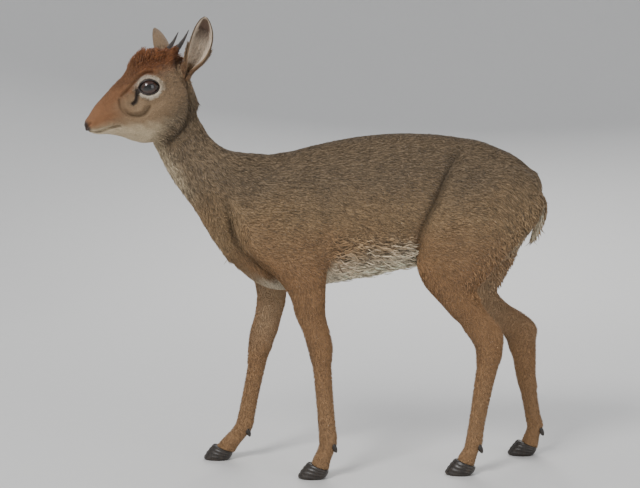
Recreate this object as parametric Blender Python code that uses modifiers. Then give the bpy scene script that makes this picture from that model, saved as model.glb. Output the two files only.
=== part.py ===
"""A life-size dik-dik, a small African antelope, standing in mid-step with its head turned to its left.

The animal faces -X, its left side is towards -Y, and the floor is z = 0. The flesh is lofted from named
sections, fused into one skin, shaped on the head, and parted into its nodes with thin cuts. Ears, horns,
eyes, claws and tail are solids of their own, each set in a socket that clears it by the same thin gap.
All sizes are in millimetres, and the finished meshes are scaled to metres.
"""
import math

import bmesh
import bpy
import numpy as np
from mathutils import Matrix, Vector
from mathutils.bvhtree import BVHTree

METRES = 0.001
GAP = 0.3
SIDES = {"left": -1, "right": 1}

# Each row of the trunk is one upright section: x along the back, height of its centre,
# reach above it and below it, half width, and how much narrower the top is than the bottom.
TRUNK = (
    (-108, 300, 18, 22, 15, 0.00),
    (-98, 297, 44, 46, 30, 0.05),
    (-80, 293, 67, 64, 42, 0.10),
    (-55, 290, 78, 79, 48, 0.14),
    (-25, 290, 80, 80.5, 51, 0.16),
    (12, 298, 81, 78.8, 53, 0.14),
    (50, 304, 82.5, 77.2, 56, 0.10),
    (85, 308, 82, 74.3, 57, 0.06),
    (118, 310, 80, 72, 55, 0.06),
    (150, 312, 76, 68, 50, 0.06),
    (190, 316, 66, 58, 43, 0.08),
    (216, 318, 51.5, 50, 37, 0.08),
    (240, 316, 33, 40, 29, 0.05),
    (254, 312, 19, 26, 19, 0.00),
)
# Each row of the neck joins its nape to its throat: x and z of both, y, and the half width.
NECK = (
    (-30, 362, -107, 241.5, 0, 42),
    (-62, 366, -126.5, 270, 0, 42),
    (-88, 368, -142.5, 296, 0, 40),
    (-104, 371, -157.3, 317, -1, 35),
    (-116, 379, -170, 336, -2, 30.5),
    (-126.5, 390, -181, 356, -4, 28),
    (-132, 401, -188, 373, -6, 27),
    (-141.5, 417, -190, 392, -7, 26.5),
    (-148, 434, -188, 414, -8, 26),
    (-155, 446, -182, 434, -8, 22),
)
# The head has its own frame: x from the nose back, y to its right, z towards its crown.
HEAD_JOINT = (-160.0, -8.0, 443.5)
HEAD_YAW = 25.0
HEAD_PITCH = 21.0
HEAD = (
    (-119.5, -6, 3, 4, 4, 0.00),
    (-116, -7, 8, 7, 8.5, 0.05),
    (-108, -7, 13, 13, 11.5, 0.10),
    (-96, -6, 19.3, 18.5, 14, 0.15),
    (-82, -6, 26.4, 26, 18, 0.18),
    (-68, -7, 34.5, 35, 23.5, 0.20),
    (-55, -8, 41, 41, 29, 0.15),
    (-42, -8, 46.5, 43, 32, 0.10),
    (-28, -6, 51, 44, 32, 0.09),
    (-14, -4, 51, 42, 31, 0.08),
    (-2, 0, 44.5, 37, 28, 0.04),
    (5.5, 3, 33, 27, 22, 0.00),
    (10.5, 4, 16, 14, 12, 0.00),
)
# The eye's places are for the right side. The left side mirrors them.
EYE_CENTRE = (-42.5, 20.5, 9.6)
EYE_RADIUS = 12.0
EYE_AXIS = (-0.30, 0.94, 0.14)
EYE_CORNERS = ((-53.8, 13.2), (-30.5, 7.0))
EYE_OPENING = 15.4
LID = 0.9
LID_BLEND = 2.2
# Soft swellings and hollows of the right cheek: x, y, z, radius, and how far the skin moves.
STROKES = (
    (-46, 25, 25, 9, 2.0),
    (-32, 27, 21, 8, 1.3),
    (-59, 21, 19, 7, 1.2),
    (-70, 21, 6, 7, 1.9),
    (-72, 22, -2, 6, 1.2),
    (-64, 25, -6, 7, 1.6),
    (-56, 28, -5, 6, 0.8),
    (-61.5, 24, 5, 3.4, -2.0),
    (-80, 18, -6, 7, -0.8),
    (-64, 24, -18, 8, -1.0),
    (-24, 30, -18, 15, 2.0),
    (-36, 28, -30, 12, 1.2),
    (4, 28, -12, 8, -2.0),
    (-4, 25, -36, 8, -2.0),
    (-20, 22, -54, 7, -1.5),
    (-112, 9, -2, 5, 1.0),
    (-102, 12, -10, 5, 0.7),
    (-92, 14, -10, 6, 0.6),
    (-98, 12, -22, 6, 0.6),
    (-10, 26, 24, 9, -1.5),
)
# Grooves, for the right side: the mouth, the nostril and the slit of the gland before the eye.
MOUTH_SIDE = ((-86, 22, -18), (-95, 20, -16.5), (-104, 18, -15), (-111, 12, -14))
MOUTH_FRONT = (-120, 0, -13.5)
NOSTRIL = ((-120, 3.0, -7.5), (-118.5, 6.5, -4.0), (-114.5, 9.5, -3.0))
GLAND = ((-65.5, 30, 1), (-61.5, 30, 3.5), (-58.0, 31, 7.5), (-55.8, 31, 12.0))

# Joints of the limbs: wrist or hock, fetlock and the end of the pastern come last.
FORE_JOINTS = {
    "left": ((-20, -43, 225), (-3, -45, 150), (5.4, -45, 42), (-4, -45, 15)),
    "right": ((-50, 43, 215), (-68.3, 45, 136), (-87.8, 46, 42), (-108.5, 46, 16)),
}
HIND_JOINTS = {
    "left": ((126, -44, 240), (191.5, -42, 152), (173, -41, 38), (162.5, -41, 15)),
    "right": ((160, 42, 226), (243.5, 41, 146), (263.5, 41, 36), (256.5, 41, 15)),
}
# Level sections of the upper limbs: height, front, rear, y and half width.
SHOULDER = {
    "left": (
        (352, -46, -16, -20, 5),
        (338, -60, -10, -25, 11),
        (320, -75, -6, -29, 16),
        (300, -88, -2, -32, 19.5),
        (283, -96, 1, -34.5, 21),
        (268, -95, 3, -37, 21.5),
        (254, -86, 5, -39.5, 21),
        (240, -70, 6, -41.5, 20),
        (228, -54, 5, -43, 19),
        (215, -43, 4.1, -44, 18),
        (203, -36.1, 3.6, -45, 16.5),
        (185, -31.2, 3.7, -45, 14),
        (167, -23.3, 8.1, -45, 12.8),
        (150, -17.8, 11.5, -45, 11.8),
        (132, -13.3, 10.4, -45, 10.2),
    ),
    "right": (
        (352, -50, -20, 20, 5),
        (338, -66, -14, 25, 11),
        (320, -82, -10, 29, 16),
        (300, -96, -8, 32, 19.5),
        (283, -105, -8, 34.5, 21),
        (268, -106, -10, 37, 21.5),
        (254, -101, -14, 39.5, 21),
        (240, -93, -19, 41.5, 20),
        (228, -86, -25, 43, 19),
        (215, -76.7, -31, 44.5, 18),
        (201, -73, -36, 45, 16.2),
        (188, -73, -37.5, 45, 14.5),
        (172, -75.5, -42.2, 45, 13.2),
        (153, -80.8, -47.4, 45, 12),
        (134, -82.8, -55.4, 45, 10.8),
        (115, -84.1, -61.3, 45.3, 9.4),
    ),
}
THIGH = {
    "left": (
        (352, 190, 226, -24, 11),
        (344, 172, 239, -25, 18),
        (330, 152, 249, -27, 25),
        (312, 132, 252, -29, 29),
        (292, 119, 245.5, -31, 30.5),
        (275, 110.5, 232, -34, 30),
        (262, 106, 218, -37, 28.5),
        (250, 104.5, 204.5, -40, 26),
        (238, 105.3, 192.1, -42, 23.5),
        (226, 109.4, 181.4, -43.5, 20.5),
        (215, 115.9, 173.3, -44, 18),
        (204, 125.8, 177.2, -44, 16.3),
        (193, 136.1, 182.9, -43.5, 15),
        (182, 145.8, 191.2, -43, 14),
        (173, 155.7, 199.6, -42.5, 13.2),
        (164, 161.3, 204.8, -42, 12.4),
        (155, 168.1, 206.4, -42, 11.7),
        (145.5, 173.3, 205.5, -42, 11.1),
        (136, 174.6, 204.4, -42, 10.6),
        (127, 175, 201.8, -41.5, 10),
        (118, 176.7, 199.1, -41, 9.2),
        (108, 174.6, 196.4, -41, 8.6),
        (96, 173.5, 193, -41, 8.2),
        (84, 171.6, 189.8, -41, 7.8),
    ),
    "right": (
        (350, 194, 228, 24, 11),
        (342, 180, 238, 25, 18),
        (328, 162, 251, 27, 24.5),
        (312, 150, 256.5, 28, 28),
        (292, 142, 257, 29.5, 29.5),
        (275, 138, 250.5, 32, 29.5),
        (262, 134, 244, 35, 28),
        (250, 134.5, 238.5, 38, 25.5),
        (238, 139, 233.5, 40, 23),
        (226, 143, 226.3, 41, 20.5),
        (214, 149, 220.8, 42, 18),
        (203, 159, 215, 42, 16.3),
        (193, 169.5, 221, 42, 15),
        (183, 180.5, 231.8, 42, 14),
        (174, 191, 247.4, 41.5, 13.2),
        (165, 202.5, 258.9, 41, 12.4),
        (157, 213, 264.9, 41, 11.7),
        (149, 222, 265.5, 41, 11.1),
        (140, 228, 264, 41, 10.6),
        (130, 231.2, 264.2, 41, 10),
        (121, 235, 264.3, 41, 9.3),
        (110, 237.7, 264.3, 41, 8.7),
        (96, 240.3, 264.6, 41, 8.3),
        (82, 244, 267, 41, 7.9),
    ),
}
# Along a lower limb: joint number and share of the way to the next, reach behind and in front, half width.
FORE_PROFILE = (
    (0.80, 15, 14.5, 11.5),
    (1.00, 14, 13, 11.5),
    (1.12, 11.5, 11.2, 10),
    (1.30, 11, 10, 8.6),
    (1.60, 10.4, 9.4, 8.0),
    (1.86, 10.8, 9.4, 8.3),
    (2.00, 11, 10, 9.6),
    (2.35, 11, 7.7, 9.2),
    (2.75, 11, 8.8, 10),
    (3.10, 12.5, 9.6, 11),
    (3.45, 12.5, 9.8, 11),
)
HIND_PROFILE = (
    (1.02, 14, 12, 10.6),
    (1.12, 13, 12, 10),
    (1.20, 12, 11.5, 9.5),
    (1.40, 11.4, 11, 8.5),
    (1.70, 9.8, 9.6, 7.7),
    (1.90, 9.6, 9.2, 8.1),
    (2.00, 10.8, 9.2, 9.2),
    (2.40, 10.2, 7.2, 8.9),
    (2.75, 11.6, 7.8, 9.8),
    (3.10, 13, 8.6, 10.8),
    (3.45, 13, 9.2, 11),
)

# Outlines, seen from the side, of what each limb takes from the flesh, and how near the middle it goes.
LIMB_OUTLINES = {
    "foreleg_left": (
        (-30, 352), (-55, 340), (-78, 315), (-99, 285), (-98, 262), (-84, 243), (-68, 228), (-56, 205),
        (-60, 100), (-60, -40), (60, -40), (60, 150), (20, 205), (6, 222), (-2, 250), (-2, 280),
        (-5, 310), (-12, 340),
    ),
    "foreleg_right": (
        (-35, 352), (-60, 340), (-84, 315), (-110, 285), (-110, 262), (-98, 240), (-90, 215), (-100, 100),
        (-150, 40), (-170, -40), (0, -40), (0, 120), (-20, 190), (-24, 215), (-20, 250), (-10, 280),
        (-10, 310), (-16, 340),
    ),
    "hind_leg_left": (
        (204, 356), (176, 352), (152, 341), (131, 320), (117, 297), (105, 275), (99, 252), (100, 228),
        (100, 120), (80, 60), (80, -40), (320, -40), (320, 290), (275, 302), (246, 326), (226, 346),
    ),
    "hind_leg_right": (
        (208, 354), (182, 350), (160, 339), (146, 320), (137, 297), (132, 275), (130, 252), (132, 228),
        (136, 120), (160, 60), (160, -40), (340, -40), (340, 290), (275, 302), (246, 324), (228, 344),
    ),
}
LIMB_DEPTH = {"foreleg": 27.0, "hind_leg": 13.5}
LIMB_SPLITS = {"foreleg": (1.0, 1.86), "hind_leg": (1.06, 1.88)}
LIMB_PARTS = ("upper", "cannon", "foot")
# A cut's place and the direction that it faces, towards the head.
HEAD_CUT = ((-168, -8, 402), (-0.802, 0.0, 0.598))
NECK_CUT = ((-110, 0, 333), (-0.768, 0.0, 0.640))

# Hooves: the toe's x and the middle between the two claws. The coronet falls from its front to the heel.
FEET = {
    "foreleg_left": (-28.6, -45.0),
    "foreleg_right": (-136.6, 46.0),
    "hind_leg_left": (140.0, -41.0),
    "hind_leg_right": (231.0, 41.0),
}
CORONET_FRONT = (12.3, 18.0)
CORONET_HEEL = (35.0, 9.0)
CLAW_WIDTH = 11.3
CLEFT = 1.4
CLAW_STEPS = ((0.00, 1.4, 29.4, 0.90), (0.10, 0.2, 31.0, 0.96), (0.30, 2.4, 33.0, 1.0),
              (0.62, 6.8, 34.6, 1.0), (1.00, 12.1, 35.4, 0.97))
CLAW_ROUND = 7
DEWCLAW = (3.2, 3.0, 5.6)
DEWCLAW_SPREAD = 6.2
DEWCLAW_SETBACK = 9.5
DEWCLAW_TILT = 22.0

# Horns, ears and crown, on the right side of the head's frame.
HORN_BASE = (-4.0, 14.0, 33.0)
HORN_TIP = (27.6, 15.0, 52.6)
HORN_RADIUS = 4.2
HORN_TIP_RADIUS = 0.7
HORN_BEND = 2.0
HORN_RINGS = 6
EAR_BASE = (8.5, 24.0, 15.0)
EAR_TIPS = {"left": (30.0, 65.0, 62.5), "right": (22.6, 65.0, 62.8)}
EAR_FACING = (-0.608, 0.72, -0.334)
EAR_SWEEP = {"left": 4.0, "right": 0.5}
EAR_WALL = 1.7
# Along the ear: share of its length, half width, and half the angle that its cup goes round, in degrees.
EAR_ROWS = ((0.0, 6.5, 150), (0.12, 8.0, 132), (0.28, 10.6, 104), (0.45, 12.2, 86), (0.62, 12.2, 72),
            (0.78, 10.2, 62), (0.90, 6.8, 52), (0.97, 3.6, 42), (1.0, 1.4, 32))
EAR_ROOT = (8.0, 8.0, 9.0)
TAIL = (
    (231, 335, 5, 7),
    (247, 327, 5.5, 8.5),
    (256.5, 313, 5.5, 9.5),
    (258.5, 298, 5, 9),
    (255, 284, 3.6, 7),
    (250, 272, 2.4, 4.5),
    (246, 264, 1.2, 2),
)

# Long hair, as flat tapered locks: where they grow, how long and wide they are and how they lie.
CROWN_ROWS = 7
CROWN_FRONT = -39.0
CROWN_BACK = 7.0
CROWN_HALF_WIDTH = 15.0
CROWN_LENGTH = 18.0
CROWN_RISE = 44.0
TAIL_ROWS = 5
TAIL_LENGTH = 17.0
TAIL_RISE = 13.0
LOCK_WIDTH = 6.4
LOCK_SUNK = 3.5
LOCK_STEPS = 4
SEED = 11

# Meshing: the grain of the fused skin and how many triangles are kept of it.
BODY_GRAIN = 2.2
HEAD_GRAIN = 1.5
BODY_TRIANGLES = 5150
HEAD_TRIANGLES = 2350
SMOOTHING = 6
FAR = 1000.0

# Colours in sRGB hex, with roughness. The coat is grizzled above and rufous on the head and legs.
FINISHES = {
    "coat": ("8E7A63", 0.85),
    "rufous_coat": ("9A6C46", 0.85),
    "eye": ("1A120D", 0.08),
    "horn": ("2B2622", 0.50),
    "hoof": ("26211D", 0.45),
}


# Plain mesh tools

def smooth_rows(rows, count):
    """Rows at even steps along a curve that passes through all the given rows."""
    rows = np.array(rows, float)
    gaps = np.linalg.norm(np.diff(rows[:, :3], axis=0), axis=1)
    place = np.concatenate([[0], np.cumsum(np.sqrt(np.maximum(gaps, 1e-6)))])
    padded = np.vstack([2 * rows[0] - rows[1], rows, 2 * rows[-1] - rows[-2]])
    at = np.linspace(0, place[-1], count)
    cell = np.clip(np.searchsorted(place, at, side="right") - 1, 0, len(rows) - 2)
    t = ((at - place[cell]) / (place[cell + 1] - place[cell]))[:, None]
    a, b, c, d = (padded[cell + i] for i in range(4))
    return 0.5 * (2 * b + (c - a) * t + (2 * a - 5 * b + 4 * c - d) * t**2 + (3 * b - a - 3 * c + d) * t**3)


def loft(rows, rings, around, level=False):
    """Points of a closed tube, its rings square to its line of centres, or level. Each row is x, y, z, reach
    one way, reach the other, half width, egg."""
    run = smooth_rows(rows, rings)
    centre = run[:, :3]
    along = np.tile((0.0, 0.0, -1.0), (rings, 1)) if level else np.gradient(centre, axis=0)
    along /= np.linalg.norm(along, axis=1)[:, None]
    side = np.array((0.0, 1.0, 0.0)) - along * along[:, 1:2]
    side /= np.linalg.norm(side, axis=1)[:, None]
    up = np.cross(along, side)
    angle = np.linspace(0, 2 * np.pi, around, endpoint=False)
    rise, spread = np.sin(angle), np.cos(angle)
    reach = np.where(rise > 0, run[:, 3:4], run[:, 4:5]) * rise
    width = run[:, 5:6] * spread * (1 - run[:, 6:7] * rise)
    return centre[:, None] + reach[..., None] * up[:, None] + width[..., None] * side[:, None]


def facing_out(mesh):
    """The mesh with all its faces pointing out."""
    work = bmesh.new()
    work.from_mesh(mesh)
    bmesh.ops.recalc_face_normals(work, faces=work.faces)
    work.to_mesh(mesh)
    work.free()
    return mesh


def tube_mesh(name, grid, folded=False):
    """A closed mesh of a grid of rings. Its ends are poles, or folded shut where a ring is an open cup."""
    rings, around = grid.shape[:2]
    points = [tuple(p) for p in grid.reshape(-1, 3)]
    faces = []
    for i in range(rings - 1):
        for j in range(around):
            k = (j + 1) % around
            faces.append((i * around + j, i * around + k, (i + 1) * around + k, (i + 1) * around + j))
    for row in (0, rings - 1):
        start = row * around
        if folded:
            for j in range(around // 2 - 1):
                faces.append((start + j, start + j + 1, start + around - 2 - j, start + around - 1 - j))
        else:
            points.append(tuple(grid[row].mean(0)))
            faces += [(start + j, start + (j + 1) % around, len(points) - 1) for j in range(around)]
    mesh = bpy.data.meshes.new(name)
    mesh.from_pydata(points, [], faces)
    return facing_out(mesh)


def ball_mesh(name, centre, radii, across, down):
    """An ellipsoid of a few rings, standing on its poles."""
    work = bmesh.new()
    bmesh.ops.create_uvsphere(work, u_segments=across, v_segments=down, radius=1.0)
    work.transform(Matrix.Translation(centre) @ Matrix.Diagonal((*radii, 1.0)))
    mesh = bpy.data.meshes.new(name)
    work.to_mesh(mesh)
    work.free()
    return mesh


def prism_mesh(name, outline, low, high):
    """A side outline, in x and z, carried along y from low to high."""
    outline = np.array(outline, float)
    grid = np.array([[(x, y, z) for x, z in outline] for y in (low, high)])
    count = len(outline)
    points = [tuple(p) for p in grid.reshape(-1, 3)]
    faces = [(j, (j + 1) % count, count + (j + 1) % count, count + j) for j in range(count)]
    faces += [tuple(range(count)), tuple(range(2 * count - 1, count - 1, -1))]
    mesh = bpy.data.meshes.new(name)
    mesh.from_pydata(points, [], faces)
    return facing_out(mesh)


def slab_mesh(name, point, direction, back=0.0):
    """A huge block that fills the side of a plane that the direction points to."""
    direction = Vector(direction).normalized()
    work = bmesh.new()
    bmesh.ops.create_cube(work, size=FAR)
    turn = direction.to_track_quat("Z", "Y").to_matrix().to_4x4()
    middle = Vector(point) + direction * (back + FAR / 2)
    work.transform(Matrix.Translation(middle) @ turn)
    mesh = bpy.data.meshes.new(name)
    work.to_mesh(mesh)
    work.free()
    return mesh


def combine(name, meshes):
    """One mesh of several, without joining their surfaces."""
    work = bmesh.new()
    for mesh in meshes:
        work.from_mesh(mesh)
    joined = bpy.data.meshes.new(name)
    work.to_mesh(joined)
    work.free()
    return joined


def points_of(mesh):
    points = np.empty(len(mesh.vertices) * 3, np.float32)
    mesh.vertices.foreach_get("co", points)
    return points.reshape(-1, 3).astype(float)


def normals_of(mesh):
    normals = np.empty(len(mesh.vertices) * 3, np.float32)
    mesh.vertex_normals.foreach_get("vector", normals)
    return normals.reshape(-1, 3).astype(float)


def set_points(mesh, points):
    mesh.vertices.foreach_set("co", np.asarray(points, np.float32).ravel())
    mesh.update()
    return mesh


def moved(mesh, matrix):
    mesh.transform(matrix)
    return facing_out(mesh)


def grown(mesh, by=GAP):
    """A copy of a mesh, a little fatter all over, which cuts the socket that the mesh sits in."""
    copy = mesh.copy()
    return set_points(copy, points_of(mesh) + normals_of(mesh) * by)


def largest_body(mesh):
    """The mesh with only its largest closed surface, triangulated and without slivers."""
    work = bmesh.new()
    work.from_mesh(mesh)
    bmesh.ops.triangulate(work, faces=work.faces)
    bmesh.ops.dissolve_degenerate(work, dist=0.02, edges=work.edges)
    bmesh.ops.triangulate(work, faces=work.faces)
    unseen, bodies = set(work.faces), []
    while unseen:
        to_visit, body = [unseen.pop()], []
        while to_visit:
            face = to_visit.pop()
            body.append(face)
            near = {other for edge in face.edges for other in edge.link_faces} & unseen
            unseen -= near
            to_visit += near
        bodies.append(body)
    bodies.sort(key=lambda body: sum(f.calc_area() for f in body))
    bmesh.ops.delete(work, geom=[f for body in bodies[:-1] for f in body], context="FACES")
    work.to_mesh(mesh)
    work.free()
    return mesh


# Objects, modifiers and materials

def new_object(name, mesh, place="helpers"):
    made = bpy.data.objects.new(name, mesh)
    bpy.data.collections[place].objects.link(made)
    if place == "helpers":
        made.hide_render = True
        made.display_type = "WIRE"
    return made


def shape_through(mesh, kind, **settings):
    """The mesh as it is after one modifier."""
    obj = new_object("work", mesh)
    modifier = obj.modifiers.new(kind, kind)
    for key, value in settings.items():
        setattr(modifier, key, value)
    graph = bpy.context.evaluated_depsgraph_get()
    result = bpy.data.meshes.new_from_object(obj.evaluated_get(graph))
    bpy.data.objects.remove(obj)
    return result


def boolean(mesh, other, operation):
    """One mesh cut by, joined to, or kept only inside another."""
    tool = new_object("cutter", other)
    result = shape_through(mesh, "BOOLEAN", operation=operation, object=tool, solver="EXACT")
    bpy.data.objects.remove(tool)
    return result


def finish_material(name):
    code, roughness = FINISHES[name]
    found = bpy.data.materials.get(name)
    if found:
        return found
    made = bpy.data.materials.new(name)
    made.use_nodes = True
    shader = made.node_tree.nodes["Principled BSDF"]
    srgb = np.array([int(code[i:i + 2], 16) / 255 for i in (0, 2, 4)])
    linear = np.where(srgb <= 0.04045, srgb / 12.92, ((srgb + 0.055) / 1.055) ** 2.4)
    shader.inputs["Base Color"].default_value = (*linear, 1.0)
    shader.inputs["Roughness"].default_value = roughness
    shader.inputs["Metallic"].default_value = 0.0
    return made


def add_node(name, mesh, finish):
    """A finished piece of the animal, in metres."""
    mesh = largest_body(mesh)
    mesh.transform(Matrix.Scale(METRES, 4))
    mesh.materials.clear()
    mesh.materials.append(finish_material(finish))
    mesh.shade_smooth()
    mesh.name = name
    return new_object(name, mesh, "dik_dik")


# The flesh

def head_frame():
    """From the head's frame to the world's: pitch the nose down, then turn it to the animal's left."""
    pitch = Matrix.Rotation(math.radians(-HEAD_PITCH), 4, "Y")
    yaw = Matrix.Rotation(math.radians(HEAD_YAW), 4, "Z")
    return Matrix.Translation(HEAD_JOINT) @ yaw @ pitch


def to_world(points):
    frame = np.array(head_frame())
    return np.asarray(points, float) @ frame[:3, :3].T + frame[:3, 3]


def limb_rows(joints, profile):
    """Rows of a limb's tube: its profile set out along the lines between its joints."""
    joints = np.array(joints, float)
    rows = []
    for place, back, front, side in profile:
        first = min(int(place), len(joints) - 2)
        centre = joints[first] + (joints[first + 1] - joints[first]) * (place - first)
        rows.append((*centre, back, front, side, 0.0))
    return rows


def neck_rows():
    rows = []
    for nape_x, nape_z, throat_x, throat_z, y, half in NECK:
        reach = math.hypot(nape_x - throat_x, nape_z - throat_z) / 2
        rows.append(((nape_x + throat_x) / 2, y, (nape_z + throat_z) / 2, reach, reach, half, 0.0))
    return rows


def level_rows(sections):
    return [((front + rear) / 2, y, z, (rear - front) / 2, (rear - front) / 2, half, 0.0)
            for z, front, rear, y, half in sections]


def head_grid():
    return to_world(loft([(x, 0, z, up, down, half, egg) for x, z, up, down, half, egg in HEAD], 60, 40))


def body_grids():
    """The lofted forms of the flesh, in millimetres, apart from the head."""
    grids = [
        loft([(x, 0, z, up, down, half, egg) for x, z, up, down, half, egg in TRUNK], 80, 48),
        loft(neck_rows(), 40, 40),
    ]
    for side in SIDES:
        grids.append(loft(level_rows(SHOULDER[side]), 60, 28, level=True))
        grids.append(loft(limb_rows(FORE_JOINTS[side], FORE_PROFILE), 60, 24))
        grids.append(loft(level_rows(THIGH[side]), 70, 28, level=True))
        grids.append(loft(limb_rows(HIND_JOINTS[side], HIND_PROFILE), 60, 24))
    return grids


def fuse(grids, grain):
    """One smooth skin round all the lofts."""
    mesh = combine("flesh", [tube_mesh("form", grid) for grid in grids])
    mesh = shape_through(mesh, "REMESH", mode="VOXEL", voxel_size=grain)
    return shape_through(mesh, "SMOOTH", factor=0.5, iterations=SMOOTHING)


def fewer(mesh, triangles):
    share = triangles / (2 * len(mesh.polygons))
    return shape_through(mesh, "DECIMATE", ratio=share, use_collapse_triangulate=True)


def shaped_head(mesh):
    """Swellings, hollows and lids: the skin moves out or in round each stroke's centre, and less and less
    with distance."""
    frame = head_frame()
    mesh.transform(frame.inverted())
    points, normals = points_of(mesh), normals_of(mesh)
    for sign in SIDES.values():
        push = np.zeros(len(points))
        for x, y, z, radius, amount in STROKES:
            away = np.linalg.norm(points - (x, sign * y, z), axis=1)
            push += amount * np.exp(-(away / radius) ** 2)
        points += normals * push[:, None]
        centre = np.array(EYE_CENTRE) * (1, sign, 1)
        axis = np.array(EYE_AXIS) * (1, sign, 1)
        ray = points - centre
        away = np.maximum(np.linalg.norm(ray, axis=1), 1e-6)
        facing = np.clip((ray @ axis) / away * 2.5, 0, 1)
        over = (away - EYE_RADIUS - LID) / LID_BLEND
        lift = LID_BLEND * (np.log1p(np.exp(np.clip(over, -30, 30))) - over) * facing
        points += ray * (lift * (over < 30) / away)[:, None]
    set_points(mesh, points)
    mesh.transform(frame)
    return mesh


# Cuts in the head

def eye_slit(sign):
    """An almond-shaped prism along the eye's axis, the opening between the lids, in the head's frame."""
    centre = Vector(EYE_CENTRE)
    axis = Vector(EYE_AXIS)
    if sign < 0:
        centre.y, axis.y = -centre.y, -axis.y
    front, rear = (Vector((x, centre.y, z)) for x, z in EYE_CORNERS)
    middle = (front + rear) / 2
    along = (rear - front) - axis * (rear - front).dot(axis)
    half = along.length / 2
    along.normalize()
    across = axis.cross(along)
    steps = 12
    outline = []
    for i in range(2 * steps):
        turn = math.pi * i / steps
        wide, high = math.cos(turn), math.sin(turn)
        taper = math.copysign(abs(high) ** 1.15, high)
        outline.append(along * wide * half + across * taper * EYE_OPENING / 2)
    base = centre + (middle - centre) - axis * (middle - centre).dot(axis)
    grid = np.array([[tuple(base + offset + axis * depth) for offset in outline] for depth in (2.0, 40.0)])
    return tube_mesh("eye_slit", grid)


def surface_finder(mesh):
    """A function that finds the point of the head's skin nearest to a point, in the head's frame."""
    local = mesh.copy()
    local.transform(head_frame().inverted())
    work = bmesh.new()
    work.from_mesh(local)
    tree = BVHTree.FromBMesh(work)
    work.free()
    return lambda point: tree.find_nearest(Vector(point))[:2]


def groove(path, finder, width, depth, steps=22):
    """A wedge-shaped cutter sunk in the skin along a path given in the head's frame."""
    run = smooth_rows([(*point, 0, 0) for point in path], steps)[:, :3]
    grid = []
    for i, point in enumerate(run):
        place, normal = finder(point)
        ahead = Vector(run[min(i + 1, steps - 1)] - run[max(i - 1, 0)]).normalized()
        side = normal.cross(ahead).normalized()
        fade = math.sin(math.pi * (i + 0.7) / (steps + 0.4)) ** 0.5
        grid.append([tuple(place + side * width * fade + normal * 1.0), tuple(place + normal * 1.2),
                     tuple(place - side * width * fade + normal * 1.0),
                     tuple(place - normal * depth * fade)])
    return moved(tube_mesh("groove", np.array(grid)), head_frame())


def mirrored(path, sign):
    return [(x, sign * y, z) for x, y, z in path]


def head_cutters(finder):
    """The sockets of the eyes, the openings of the lids, mouth, nostrils and the glands before the eyes."""
    cutters = []
    for sign in SIDES.values():
        centre = np.array(EYE_CENTRE) * (1, sign, 1)
        socket = ball_mesh("socket", centre, [EYE_RADIUS + 1.6 * GAP] * 3, 16, 10)
        cutters.append(moved(socket, head_frame()))
        cutters.append(moved(eye_slit(sign), head_frame()))
        cutters.append(groove(mirrored(NOSTRIL, sign), finder, 1.5, 2.6, 8))
        cutters.append(groove(mirrored(GLAND, sign), finder, 1.1, 2.4, 8))
    mouth = mirrored(MOUTH_SIDE, -1) + [MOUTH_FRONT] + mirrored(MOUTH_SIDE, 1)[::-1]
    cutters.append(groove(mouth, finder, 0.9, 2.4, 34))
    return cutters


# Pieces of their own

def eye_mesh(sign):
    centre = np.array(EYE_CENTRE) * (1, sign, 1)
    return moved(ball_mesh("eye", centre, [EYE_RADIUS] * 3, 16, 10), head_frame())


def horn_mesh(sign):
    """A short tapered spike, bent a little forward at its tip, with low rings on its lower two thirds."""
    base, tip = (np.array(p) * (1, sign, 1) for p in (HORN_BASE, HORN_TIP))
    rows = []
    steps = 2 * HORN_RINGS + 5
    for i in range(steps + 1):
        share = i / steps
        radius = HORN_RADIUS + (HORN_TIP_RADIUS - HORN_RADIUS) * share ** 1.15
        ring = 0.16 * radius * (i % 2 == 1) * (share < 0.75)
        bend = np.array((-0.6, 0, 0.8)) * HORN_BEND * math.sin(math.pi * share) * -1
        rows.append((*(base + (tip - base) * share + bend), radius + ring, radius + ring, radius + ring, 0))
    return moved(tube_mesh("horn", loft(rows, steps + 1, 8)), head_frame())


def ear_mesh(side):
    """A cup: each ring goes round the back of the ear and returns inside it, and the root fills its foot."""
    sign = SIDES[side]
    base, tip, facing = (Vector((x, sign * y, z)) for x, y, z in (EAR_BASE, EAR_TIPS[side], EAR_FACING))
    along = (tip - base).normalized()
    facing = (facing - along * facing.dot(along)).normalized()
    across = along.cross(facing)
    behind = across if across.x > 0 else -across
    rows = smooth_rows([(share, 0, 0, half, angle) for share, half, angle in EAR_ROWS], 11)
    grid = []
    for share, _, _, half, angle in rows:
        opening = math.radians(angle)
        radius = half / max(math.sin(min(opening, math.pi / 2)), 0.2)
        wall = EAR_WALL * (1.15 - 0.55 * share)
        middle = base + (tip - base) * share + facing * (radius - half * 0.55)
        middle += behind * EAR_SWEEP[side] * math.sin(math.pi * share)
        sweep = [opening * (-1 + 2 * i / 8) for i in range(9)]
        outer = [middle - facing * math.cos(a) * radius + across * math.sin(a) * radius for a in sweep]
        inner_radius = max(radius - wall, 0.3 * radius)
        inner = [middle - facing * math.cos(a) * inner_radius + across * math.sin(a) * inner_radius
                 for a in reversed(sweep)]
        grid.append([tuple(p) for p in outer + inner])
    cup = tube_mesh("ear", np.array(grid), folded=True)
    root = ball_mesh("root", base - along * 2.0, EAR_ROOT, 10, 7)
    ear = boolean(cup, root, "UNION")
    return moved(largest_body(ear), head_frame())


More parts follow.
